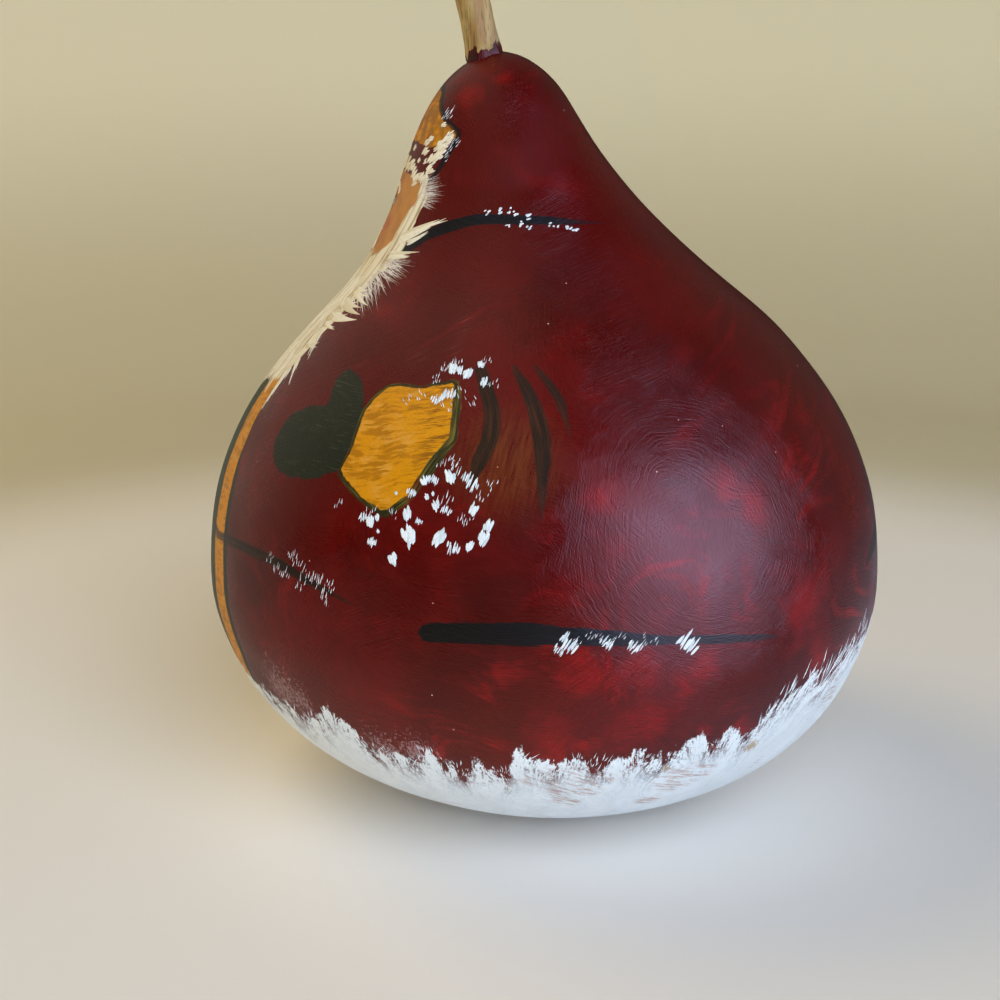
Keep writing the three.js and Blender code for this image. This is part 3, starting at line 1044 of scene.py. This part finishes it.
def lay_hem(wire, place, coats):
    """The fur hem: white paint, dry-brushed at its upper edge, with painted shade between its tufts, and worn
    to bare skin where the gourd rests.
    """
    hem = wire.attribute("hem")
    stipple, spots, scratches = wire.attribute("hem_marks", "Vector").parts()
    _, height, turn = wire.attribute("front", "Vector").parts()
    swept = turn.smooth(122, 150)
    sweep = swept * 1.5 + (place.noise(13, 1) - 0.5) * 1.8
    flat = wire.node("ShaderNodeCombineXYZ", None, {0: turn * HEM_AROUND - hem * sweep, 1: height})
    short = flat.stretched(0.5, 2.6, 1).noise(1, 4, 0.7)
    fibre = swept.blend(short, flat.stretched(0.55, 9, 1).noise(1, 3, 0.6)) - 0.5
    fuzz = place.noise(0.8, 4, 0.75) - 0.5
    tuft = flat.stretched(4.5, 11, 1).noise(1, 3, 0.6) - 0.5
    speckle = (fuzz * 2.2 + fibre + stipple.smooth(1.0, 0.0) * 0.42).smooth(0.3, 0.42)
    coats.lay(speckle * stipple.smooth(1.0, 0.85) * 0.8, colour(FAINT_WHITE), 0.55)
    edge = tuft * 19 + fibre * 8 + fuzz * 6 - hem
    gaps = (fibre + fuzz * 0.6 + tuft * 1.2).smooth(0.04, -0.1) * hem.smooth(-8.5, -0.5)
    cover = edge.smooth(-0.4, 1.0) * (1 - gaps * 0.92)
    # Painted shade: the white turns bluish grey in the hollows between fibres and tufts, most towards the
    # upper edge.
    shade = (fibre * 1.2 + fuzz + tuft).smooth(0.1, -0.3) * hem.smooth(-16, -3).blend(0.25, 0.9)
    white = shade.mix(colour(WHITE_PAINT), colour(WHITE_SHADE))
    grime = place.turned(25, 0, 0).stretched(6, 6, 0.7).noise(1, 4, 0.7).smooth(0.46, 0.6)
    stain = place.noise(24, 2).smooth(0.58, 0.68).larger(scratches.smooth(1.0, 0.3)) * grime * 0.7
    white = stain.mix(white, colour(HEM_STAIN))
    bare = (spots + (fuzz + fibre) * 1.6).smooth(1.0, 0.4) * 0.8
    white = bare.mix(white, colour(BARE_GOURD))
    coats.lay(cover.larger(bare), white, 0.55)
    coats.height = coats.height + hem.smooth(0.5, -3.0) * (short - 0.5) * 0.3
    rub = (height + (place.noise(6, 3) - 0.5) * 5).smooth(2.2, 1.0)
    coats.lay(rub, colour(BARE_GOURD), 0.6)


def spot(around, height, middle, half_width, half_height):
    """How far a place on the front lies from the middle of an oval, which reaches to 1."""
    x = (around - middle[0]) / half_width
    y = (height - middle[1]) / half_height
    square = x * x + y * y
    return square.math("SQRT", square)


def lay_face(wire, place, coats):
    """A calm, plain face: skin, rosy cheeks and nose, eyes and lids."""
    around, height, _ = wire.attribute("front", "Vector").parts()
    mottle = place.noise(4, 3).smooth(0.35, 0.75) * 0.5
    skin = mottle.mix(colour(FACE_SKIN), colour(FACE_SHADE))
    for middle, half_sizes, inner, share, tint in FACE_TONES:
        tone = spot(around, height, middle, *half_sizes).smooth(1.0, inner) * share
        skin = tone.mix(skin, colour(tint))
    mask = (wire.attribute("face") + (place.noise(3, 2) - 0.5)).smooth(0.3, -0.3)
    coats.lay(mask, skin, 0.46)
    eye = spot(around, height, (7.4, 160.2), 2.6, 1.2)
    coats.lay(eye.smooth(1.4, 1.1), colour(FACE_SHADE), 0.4)
    coats.lay(eye.smooth(1.0, 0.85), colour(EYE_WHITE), 0.35)
    iris = spot(around, height, (7.3, 160.3), 1.3, 1.3).smooth(1.0, 0.85) * eye.smooth(1.05, 0.9)
    coats.lay(iris, colour(EYE_DARK), 0.3)
    glint = spot(around, height, (6.9, 160.7), 0.35, 0.35).smooth(1.0, 0.7)
    coats.lay(glint, colour(WHITE_PAINT), 0.3)
    lid = abs(spot(around, height, (7.4, 159.6), 3.2, 2.0) - 1).smooth(0.16, 0.06) * (height > 160.2)
    coats.lay(lid, colour(EYE_DARK), 0.4)


def lay_hood(wire, place, coats, ochre):
    """The hood's ochre brim."""
    hood = wire.attribute("hood") + (place.noise(3, 3) - 0.5) * 1.6
    brown = place.stretched(3, 3, 6).noise(1, 3).smooth(0.36, 0.6) * 0.85
    coats.lay(hood.smooth(0.2, -0.2), brown.mix(ochre, colour(HOOD_BROWN)), 0.46)


def lay_beard(wire, coats):
    """The cream ground of the beard, under its painted locks."""
    around, height, _ = wire.attribute("front", "Vector").parts()
    flow = around + (height - 150) * around * 0.004
    flat = wire.node("ShaderNodeCombineXYZ", None, {0: flow, 1: height})
    streak = flat.stretched(1.5, 20, 1).noise(1, 4, 0.7)
    hook = flat.stretched(3, 8, 1).noise(1, 2)
    edge = wire.attribute("beard") + (streak - 0.5) * 4 + (hook - 0.5) * 4
    tint = streak.smooth(0.4, 0.56).mix(colour(CREAM_SHADE), colour(CREAM_PAINT))
    tint = (streak.smooth(0.47, 0.36) * 0.85).mix(tint, colour(CREAM_TAN))
    coats.lay(edge.smooth(0.4, -0.5), tint, 0.55)
    coats.height = coats.height + wire.attribute("beard").smooth(0.4, -0.5) * streak * 0.3


def painted_skin():
    """The robe's bare paint; round it, the paint about the hem and the paint higher up."""
    material, wire, first_shader = new_material("painted_skin")
    place = object_place(wire)
    robe = red_coats(wire, place)
    ochre = ochre_tint(place)
    low = Coats(robe.tint, robe.roughness, robe.height)
    lay_front(wire, place, low, ochre)
    lay_folds(wire, place, low)
    lay_hem(wire, place, low)
    high = Coats(robe.tint, robe.roughness, robe.height)
    lay_front(wire, place, high, ochre)
    lay_hood(wire, place, high, ochre)
    lay_folds(wire, place, high)
    lay_arm(wire, place, high, ochre)
    lay_face(wire, place, high)
    lay_beard(wire, high)
    bare = Wire(wire.tree, first_shader.outputs[0])
    hemmed, upper = (wire.node("ShaderNodeBsdfPrincipled") for _ in range(2))
    for coats, shader in ((robe, bare), (low, hemmed), (high, upper)):
        shader.socket.node.inputs["Specular IOR Level"].default_value = VARNISH_GLOSS
        coats.finish(wire, shader.socket.node)
    over = wire.node("ShaderNodeMixShader", None, {0: wire.attribute("hem_zone"), 1: upper, 2: hemmed})
    skin = wire.node("ShaderNodeMixShader", None, {0: wire.attribute("painted_over"), 1: bare, 2: over})
    wire.tree.links.new(skin.socket, wire.tree.nodes["Material Output"].inputs["Surface"])
    return material


def body_piece(node, tree):
    """The finished body, and its surface to place marks on."""
    cage = quad_mesh(node, "body_cage")
    piece = grown_piece("painted_body", cage, tree, DENT_DEPTH, DENT_LENGTHS, painted_skin())
    skin = Skin(node, piece.data)
    store_fields(piece.data, skin)
    return piece, skin


# The stem

def dry_stem():
    """Dry, ridged stem, with the robe's red run up round its foot."""
    material, wire, shader = new_material("dry_stem")
    place = object_place(wire)
    fibre = place.stretched(0.7, 0.7, 14).noise(1, 4, 0.65)
    facet = place.stretched(3.2, 3.2, 60).noise(1, 1).smooth(0.4, 0.6)
    tint = facet.mix(colour(STEM_TAN), colour(STEM_PALE))
    tint = (fibre.smooth(0.5, 0.36) * 0.8).mix(tint, colour(STEM_BROWN))
    tint = (place.stretched(4, 4, 7).noise(1, 3).smooth(0.6, 0.74) * 0.3).mix(tint, colour(STEM_GREY))
    coats = Coats(tint, 0.62 - fibre * 0.2, fibre * 0.25)
    tip = wire.attribute("tip")
    coats.lay((tip + fibre * 2).smooth(2.0, 1.0) * 0.75, colour(STEM_BROWN), 0.8)
    foot = wire.attribute("foot")
    ragged = foot - (place.stretched(1.4, 1.4, 6).noise(1, 3) - 0.5) * 9
    red = place.noise(4, 3).smooth(0.4, 0.65).mix(colour(RED_DARK), colour(RED_DEEP))
    coats.lay(ragged.smooth(2.4, 1.9), red, 0.4)
    coats.finish(wire, shader)
    return material


def stem_piece(node, tree, skin):
    """The finished stem, with its foot sunk into the crown."""
    cage = quad_mesh(node, "stem_cage")
    for vertex in cage.vertices:
        _, normal, _, gap = skin.tree.find_nearest(vertex.co)
        if gap < FOOT_REACH * MM:
            vertex.co -= normal * (FOOT_SINK * MM)
    piece = grown_piece("ribbed_stem", cage, tree, GROOVE_DEPTH, GROOVE_LENGTHS, dry_stem())
    points = mesh_points(piece.data)
    gaps = [skin.tree.find_nearest(vertex.co)[3] / MM for vertex in piece.data.vertices]
    store(piece.data, "foot", np.array(gaps))
    store(piece.data, "tip", points[:, 2].max() - points[:, 2])
    return piece


# Raised brush marks

ROUND_SECTION = [(-0.5, -0.6), (-0.34, 0.75), (0.0, 1.0), (0.34, 0.75), (0.5, -0.6)]
RIDGE_SECTION = [(-0.5, -0.6), (0.0, 1.0), (0.5, -0.6)]
DAB_STEPS = 5
BRISTLE_STEPS = 4
LOCK_STEPS = 9
LOCK_BEND = 0.5
HOOK_BEND = 1.5


def dab_width(share):
    """A dab's width along it: blunt at both ends."""
    return (1 - abs(2 * share - 1) ** 5) ** 0.5


def bristle_width(share):
    """A bristle mark's width along it: blunt at its start, drawn out to a point."""
    return math.sin(math.pi * share**0.5) ** 0.8


def mark_shape(name, width_at, steps, section, bend=0.0):
    """A raised brush mark, one unit long and wide, that bends sideways."""
    mesh = bpy.data.meshes.new(name)
    points, rises, faces = [], [], []
    for i in range(steps + 1):
        share = i / steps
        width = max(width_at(share), 0.1)
        for y, rise in section:
            points.append((share, y * width + bend * share * share, 0))
            rises.append(rise * (0.4 + 0.6 * width) if rise > 0 else rise)
    count = len(section)
    for i in range(steps):
        for j in range(count):
            k = (j + 1) % count
            faces.append((i * count + j, (i + 1) * count + j, (i + 1) * count + k, i * count + k))
    faces.append(tuple(reversed(range(count))))
    faces.append(tuple(range(steps * count, (steps + 1) * count)))
    mesh.from_pydata(points, [], faces)
    store(mesh, "rise", np.array(rises))
    return link(bpy.data.objects.new(name, mesh))


def marks_tree():
    """Sets copies of a brush mark about each spot, laid along its aim and down on the body's surface."""
    inputs = {"Skin": "Object", "Shape": "Object", "Copies": "Int", "Seed": "Int", "Paint": "Material"}
    wire, given = geometry_tree("brush_marks", {**inputs, **{label: "Float" for label in SIZE_LABELS[1:]}})

    def chance(step, low=-1.0, high=1.0):
        values = {2: low, 3: high, "Seed": given["Seed"] + step}
        return wire.node("FunctionNodeRandomValue", {"data_type": "FLOAT"}, values, 1)

    def kept(name, kind):
        settings = {"data_type": kind}
        return wire.node("GeometryNodeInputNamedAttribute", settings, {"Name": name}, "Attribute")

    def scaled(vector, amount):
        return wire.node("ShaderNodeVectorMath", {"operation": "SCALE"}, {"Vector": vector, "Scale": amount})

    skin = wire.node("GeometryNodeObjectInfo", None, {"Object": given["Skin"]}, "Geometry")
    shape = wire.node("GeometryNodeObjectInfo", None, {"Object": given["Shape"]}, "Geometry")
    facing = wire.node("GeometryNodeInputNormal")
    sample = {"Mesh": skin, "Value": facing}
    normal = wire.node("GeometryNodeSampleNearestSurface", {"data_type": "FLOAT_VECTOR"}, sample, "Value")
    aim = kept("aim", "FLOAT_VECTOR")
    size = kept("size", "FLOAT")
    side = wire.vector("CROSS_PRODUCT", normal, aim)
    spots = {"Geometry": given["Mesh"], "Amount": given["Copies"]}
    many = wire.node("GeometryNodeDuplicateElements", {"domain": "POINT"}, spots, "Geometry")
    order = many.other("Duplicate Index") + chance(1, 0.2, 0.8)
    aside = order / given["Copies"] * 2 - 1
    bulge = 1 - aside * aside * 0.7
    length = given["Length"] * size * chance(3, 0.65, 1.25) * bulge.math("SQRT", bulge)
    start = chance(0) * given["Along"] * size - length * given["Back"]
    shift = wire.vector("ADD", scaled(aim, start), scaled(side, aside * given["Across"] * size))
    spread = wire.node("GeometryNodeSetPosition", None, {"Geometry": many, "Offset": shift})
    lean = aside * given["Fan"] + chance(2) * given["Lean"]
    leaning = wire.vector("ADD", aim, scaled(side, lean))
    axes = {"Primary Axis": normal, "Secondary Axis": leaning}
    turn = wire.node("FunctionNodeAxesToRotation", {"primary_axis": "Z", "secondary_axis": "X"}, axes)
    width = given["Width"] * size * chance(4, 0.7, 1.25)
    scale = wire.node("ShaderNodeCombineXYZ", None, {0: length, 1: width, 2: 1.0})
    placing = {"Points": spread, "Instance": shape, "Rotation": turn, "Scale": scale}
    marks = wire.node("GeometryNodeInstanceOnPoints", None, placing)
    shade = {"Geometry": marks, "Name": "shade", "Value": chance(5, 0.0, 1.0)}
    shaded = wire.node("GeometryNodeStoreNamedAttribute", {"data_type": "FLOAT", "domain": "INSTANCE"}, shade)
    whole = wire.node("GeometryNodeRealizeInstances", None, {"Geometry": shaded})
    near = wire.node("GeometryNodeProximity", {"target_element": "FACES"}, {0: skin}, "Position")
    lifted = wire.vector("ADD", near, scaled(normal, kept("rise", "FLOAT") * given["Thickness"]))
    laid = wire.node("GeometryNodeSetPosition", None, {"Geometry": whole, "Position": lifted})
    smooth = wire.node("GeometryNodeSetShadeSmooth", None, {"Geometry": laid})
    return close_tree(smooth, given["Paint"])


def raised_paint(name, light, dark):
    """Thick paint: paler and darker marks, with fine bristle grooves."""
    material, wire, shader = new_material(name)
    place = object_place(wire)
    grain = place.noise(0.8, 3)
    tint = (wire.attribute("shade").smooth(0.35, 1.0) * 0.6).mix(colour(light), colour(dark))
    tint = (grain.smooth(0.5, 0.7) * 0.4).mix(tint, colour(dark))
    Coats(tint, 0.5 + grain * 0.15, grain * 0.12).finish(wire, shader)
    return material


class Spots:
    """Places for brush marks, each with the way that its marks aim and their size."""

    def __init__(self, skin):
        self.skin = skin
        self.rows = []

    def add(self, place, ahead, size=1.0):
        """Adds a spot that aims from one place towards another."""
        self.rows.append((place, (ahead - place).normalized(), size))

    def at_pixels(self, aim, places):
        """Adds spots at pixels, all aiming the same way in the photograph, and their mirror images."""
        for x, y, size in places:
            place, _ = self.skin.at_pixel((x, y))
            ahead, _ = self.skin.at_pixel((x + aim[0], y + aim[1]))
            self.add(place, ahead, size)
            self.add(far_place(place), far_place(ahead), size)

    def on_front(self, around, height, aim, size=1.0):
        """Adds a spot on the painted front, aiming by a step round and a step up."""
        place, _ = self.skin.on_front(around, height)
        ahead, _ = self.skin.on_front(around + aim[0], height + aim[1])
        self.add(place, ahead, size)

    def at_turn(self, turn, height, aim, size=1.0):
        """Adds a spot at a turn and height, aiming by a step of each."""
        place, _ = self.skin.at_turn(turn, height)
        ahead, _ = self.skin.at_turn(turn + aim[0], height + aim[1])
        self.add(place, ahead, size)

    def mesh(self, name):
        mesh = bpy.data.meshes.new(name)
        mesh.from_pydata([place for place, _, _ in self.rows], [], [])
        store(mesh, "aim", np.array([aim for _, aim, _ in self.rows]))
        store(mesh, "size", np.array([size for _, _, size in self.rows], float))
        return mesh


def far_place(place):
    """The place on the far side that mirrors one on the near side."""
    turn = math.radians(MIRROR_TURN)
    x, y, z = place
    return Vector((
        -(x * math.cos(turn) + y * math.sin(turn)),
        y * math.cos(turn) - x * math.sin(turn),
        z - MIRROR_DROP * MM,
    ))


def dab_spots(skin, groups):
    """Dabs or flecks at groups of pixels."""
    spots = Spots(skin)
    for aim, places in groups:
        spots.at_pixels(aim, places)
    return spots


def grows_behind(turn, most, start, end):
    """A number that grows from nothing to its most between two turns from the front."""
    return most * np.clip((abs(turn) - start) / (end - start), 0, 1)


def hem_spots(skin, chance):
    """Tufts of fine bristle marks along the hem's upper edge."""
    spots = Spots(skin)
    turns, levels = np.array(HEM_EDGE, float).T
    for turn in np.arange(-180, 180, HEM_TUFT_STEP):
        turn = turn + chance.uniform(-1, 1)
        swept = grows_behind(turn, *HEM_SWEEP)
        lean = (chance.uniform(-2.4, 2.4) + swept) * (1 if turn > 0 else -1)
        level = np.interp(abs(turn), turns, levels) + chance.uniform(-3.5, 1.5)
        long = 1 + grows_behind(turn, *HEM_LONGER)
        spots.at_turn(turn, level, (lean, 6), chance.uniform(0.5, 1.3) * long)
    return spots


def beard_spots(skin, chance, side):
    """Locks in overlapping rows down one side of the beard, and along its lower edge."""
    spots = Spots(skin)
    heights, widths = np.array(BEARD_WIDTHS, float).T
    for height in np.arange(heights[0], heights[-1], BEARD_ROW_STEP):
        half = np.interp(height, heights, widths)
        for around in np.arange(0, half, BEARD_LOCK_STEP):
            around = around + chance.uniform(-1, 1)
            aim = (side * (around / half * 1.2 + chance.uniform(-0.4, 0.4)), -4)
            level = height + chance.uniform(-2, 2)
            spots.on_front(side * around, level, aim, chance.uniform(0.7, 1.2))
    for around, height, aim in BEARD_TIPS:
        spots.on_front(side * around, height, (side * aim[0], aim[1]), 1.0)
    return spots


def reach_spots(skin, pairs, far):
    """Marks that each reach from one pixel to another, or the mirror images of those on the far side."""
    spots = Spots(skin)
    for pair in pairs:
        start, end = (skin.at_pixel(pixel)[0] for pixel in pair)
        size = (end - start).length / (WISP_UNIT * MM)
        if far:
            spots.add(far_place(start), far_place(end), size)
        else:
            spots.add(start, end, size)
    return spots


def moustache_spots(skin, chance):
    """Locks of the moustache."""
    spots = Spots(skin)
    for side in (-1, 1):
        for start, height, reach in MOUSTACHE_LOCKS:
            spots.on_front(side * start, height, (side * reach[0], reach[1]), chance.uniform(0.8, 1.1))
    return spots


def hood_spots(skin, chance):
    """Dabs of fur inside the hood, and the brows."""
    spots = Spots(skin)
    for side in (-1, 1):
        for around, height, size in HOOD_FUR:
            aim = (side * chance.uniform(0.5, 2.5), chance.uniform(0.5, 3))
            spots.on_front(side * around, height, aim, size)
        for around, height in BROWS:
            spots.on_front(side * around, height, (side * 2, -0.6), 0.5)
    return spots


def add_marks(body, skin):
    """All the raised paint: frost, hem, beard and the marks about the face."""
    chance = np.random.default_rng(MARK_SEED)
    tree = marks_tree()
    dab = mark_shape("dab_shape", dab_width, DAB_STEPS, ROUND_SECTION)
    bristle = mark_shape("bristle_shape", bristle_width, BRISTLE_STEPS, RIDGE_SECTION)
    right_lock, left_lock, right_hook, left_hook = (
        mark_shape(name + "_shape", bristle_width, LOCK_STEPS, ROUND_SECTION, bend)
        for name, bend in (("right_lock", LOCK_BEND), ("left_lock", -LOCK_BEND),
                           ("right_hook", HOOK_BEND), ("left_hook", -HOOK_BEND))
    )
    white = raised_paint("white_marks", WHITE_PAINT, WHITE_SHADE)
    faint = raised_paint("faint_marks", WHITE_PAINT, FAINT_WHITE)
    cream = raised_paint("cream_marks", CREAM_PAINT, CREAM_SHADE)
    pink = raised_paint("pink_marks", PINK_PALE, PINK_DULL)
    sets = [
        ("thick_dabs", dab_spots(skin, THICK_DABS), dab, white, THICK_SIZES),
        ("hatched_dabs", dab_spots(skin, HATCHED_DABS), dab, white, HATCHED_SIZES),
        ("faint_flecks", dab_spots(skin, FLECKS), bristle, faint, FLECK_SIZES),
        ("neck_dots", dab_spots(skin, NECK_DOTS), dab, white, DOT_SIZES),
        ("hem_fur", hem_spots(skin, chance), bristle, white, HEM_SIZES),
        ("right_beard_locks", beard_spots(skin, chance, 1), right_lock, cream, BEARD_SIZES),
        ("left_beard_locks", beard_spots(skin, chance, -1), left_lock, cream, BEARD_SIZES),
        ("right_beard_wisps", reach_spots(skin, WISPS, False), right_lock, cream, WISP_SIZES),
        ("left_beard_wisps", reach_spots(skin, WISPS, True), left_lock, cream, WISP_SIZES),
        ("right_beard_hooks", reach_spots(skin, HOOKS, False), right_hook, cream, HOOK_SIZES),
        ("left_beard_hooks", reach_spots(skin, HOOKS, True), left_hook, cream, HOOK_SIZES),
        ("right_beard_fans", reach_spots(skin, FANS, False), bristle, pink, FAN_SIZES),
        ("left_beard_fans", reach_spots(skin, FANS, True), bristle, pink, FAN_SIZES),
        ("moustache", moustache_spots(skin, chance), right_lock, cream, MOUSTACHE_SIZES),
        ("hood_fur", hood_spots(skin, chance), dab, cream, HOOD_FUR_SIZES),
    ]
    for number, (name, spots, shape, paint, sizes) in enumerate(sets):
        values = dict(zip(SIZE_LABELS, sizes))
        values.update({label: value * MM for label, value in values.items() if label not in MARK_RATIOS})
        values.update(Skin=body, Shape=shape, Seed=MARK_SEED + 10 * number, Paint=paint)
        piece = run_tree(name, spots.mesh(name + "_spots"), tree, values)
        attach(piece, "root")
    for shape in (dab, bristle, right_lock, left_lock, right_hook, left_hook):
        bpy.data.objects.remove(shape)


# Floor, light and world

def add_floor():
    """A pale floor that sweeps up into a wall, all round."""
    profile = [(0, 0), (SWEEP_FLAT, 0)]
    for i in range(1, SWEEP_STEPS + 1):
        turn = math.pi / 2 * i / SWEEP_STEPS
        profile.append((SWEEP_FLAT + SWEEP_CURVE * math.sin(turn), SWEEP_CURVE * (1 - math.cos(turn))))
    profile.append((SWEEP_FLAT + SWEEP_CURVE, SWEEP_HEIGHT))
    shape = bmesh.new()
    points = [shape.verts.new((x * MM, 0, z * MM)) for x, z in profile]
    line = [shape.edges.new(pair) for pair in zip(points, points[1:])]
    spin = {"axis": (0, 0, 1), "cent": (0, 0, 0), "angle": math.tau, "steps": SWEEP_SIDES, "use_merge": True}
    bmesh.ops.spin(shape, geom=points + line, **spin)
    bmesh.ops.remove_doubles(shape, verts=shape.verts, dist=MERGE_DISTANCE * MM)
    bmesh.ops.recalc_face_normals(shape, faces=shape.faces)
    bmesh.ops.reverse_faces(shape, faces=shape.faces)
    mesh = bpy.data.meshes.new("pale_floor")
    shape.to_mesh(mesh)
    shape.free()
    mesh.shade_smooth()
    floor = link(bpy.data.objects.new("pale_floor", mesh))
    material, wire, shader = new_material("pale_floor")
    x, y, height = object_place(wire).parts()
    reach = x * x + y * y
    far = reach.math("SQRT", reach).smooth(*FLOOR_FADE)
    # Painted shade: the floor darkens towards the wall's foot, and the wall is paler higher up.
    tint = far.mix(colour(FLOOR_PALE), colour(WALL_SHADE_LOW))
    tint = height.smooth(*WALL_FADE).mix(tint, colour(WALL_WARM))
    wire.tree.links.new(tint.socket, shader.inputs["Base Color"])
    shader.inputs["Roughness"].default_value = FLOOR_ROUGHNESS
    mesh.materials.append(material)
    floor.visible_glossy = False
    floor.visible_shadow = False


def add_light(name, place, target, size, watts, tint):
    """A soft square light that faces a target."""
    data = bpy.data.lights.new(name, "AREA")
    data.size = size
    data.energy = watts
    data.color = colour(tint)[:3]
    lamp = link(bpy.data.objects.new(name, data))
    lamp.visible_camera = False
    lamp.location = place
    lamp.rotation_euler = (target - place).to_track_quat("-Z", "Y").to_euler()
    return lamp


def add_room(ahead, right):
    """Even light all round, and the room that the varnish mirrors: walls, ceiling and table."""
    world = bpy.data.worlds.new("soft_room")
    world.use_nodes = True
    wire = Wire(world.node_tree)
    gloss = wire.node("ShaderNodeLightPath", None, None, "Is Glossy Ray")
    way = wire.node("ShaderNodeTexCoord", None, None, "Generated")
    towards = way.vector("DOT_PRODUCT", way, ahead).other("Value")
    aside = way.vector("DOT_PRODUCT", way, right).other("Value")
    up = way.parts()[2]
    behind = towards.smooth(*WALLS_FROM) * towards.smooth(*WALLS_TO)
    walls = behind * aside.smooth(*WALLS_SIDES).blend(*ROOM_WALLS)
    ceiling = up.smooth(*CEILING_FROM) * aside.smooth(*CEILING_SIDES).blend(*ROOM_CEILING)
    table = up.smooth(*TABLE_FROM) * aside.smooth(*TABLE_SIDES).blend(*ROOM_TABLE)
    seen = walls.larger(ceiling).larger(table)
    cool = up.smooth(*COOL_FROM) * aside.smooth(*COOL_SIDES) * gloss
    tint = cool.mix(colour(ROOM_WARM), colour(ROOM_COOL))
    strength = gloss.blend(ROOM_LIGHT, seen)
    back = world.node_tree.nodes["Background"]
    wire.tree.links.new(tint.socket, back.inputs["Color"])
    wire.tree.links.new(strength.socket, back.inputs["Strength"])
    bpy.context.scene.world = world


def add_lights():
    """Soft lights about the gourd: the window that gleams in the varnish, and lights that only light."""
    _, forward, right, _ = camera_axes()
    above = Vector((0, 0, 1))
    ahead = Vector((-forward.x, -forward.y, 0)).normalized()
    for name, (steps, size, watts, tint) in LIGHTS.items():
        place = ahead * steps[0] + right * steps[1] + above * steps[2]
        light = add_light(name, place, above * LIGHT_TARGET, size, watts, tint)
        light.visible_glossy = name == "window"
        light.visible_diffuse = name != "window"
    add_room(ahead, right)


def main():
    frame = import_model()
    bpy.context.scene.view_settings.view_transform = "Standard"
    add_camera()
    tree = grown_tree()
    body, skin = body_piece(frame["nodes"]["gourd_body"], tree)
    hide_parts("gourd_body")
    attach(body, "root")
    stem = stem_piece(frame["nodes"]["stem"], tree, skin)
    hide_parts("stem")
    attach(stem, "root")
    add_marks(body, skin)
    add_floor()
    add_lights()


main()
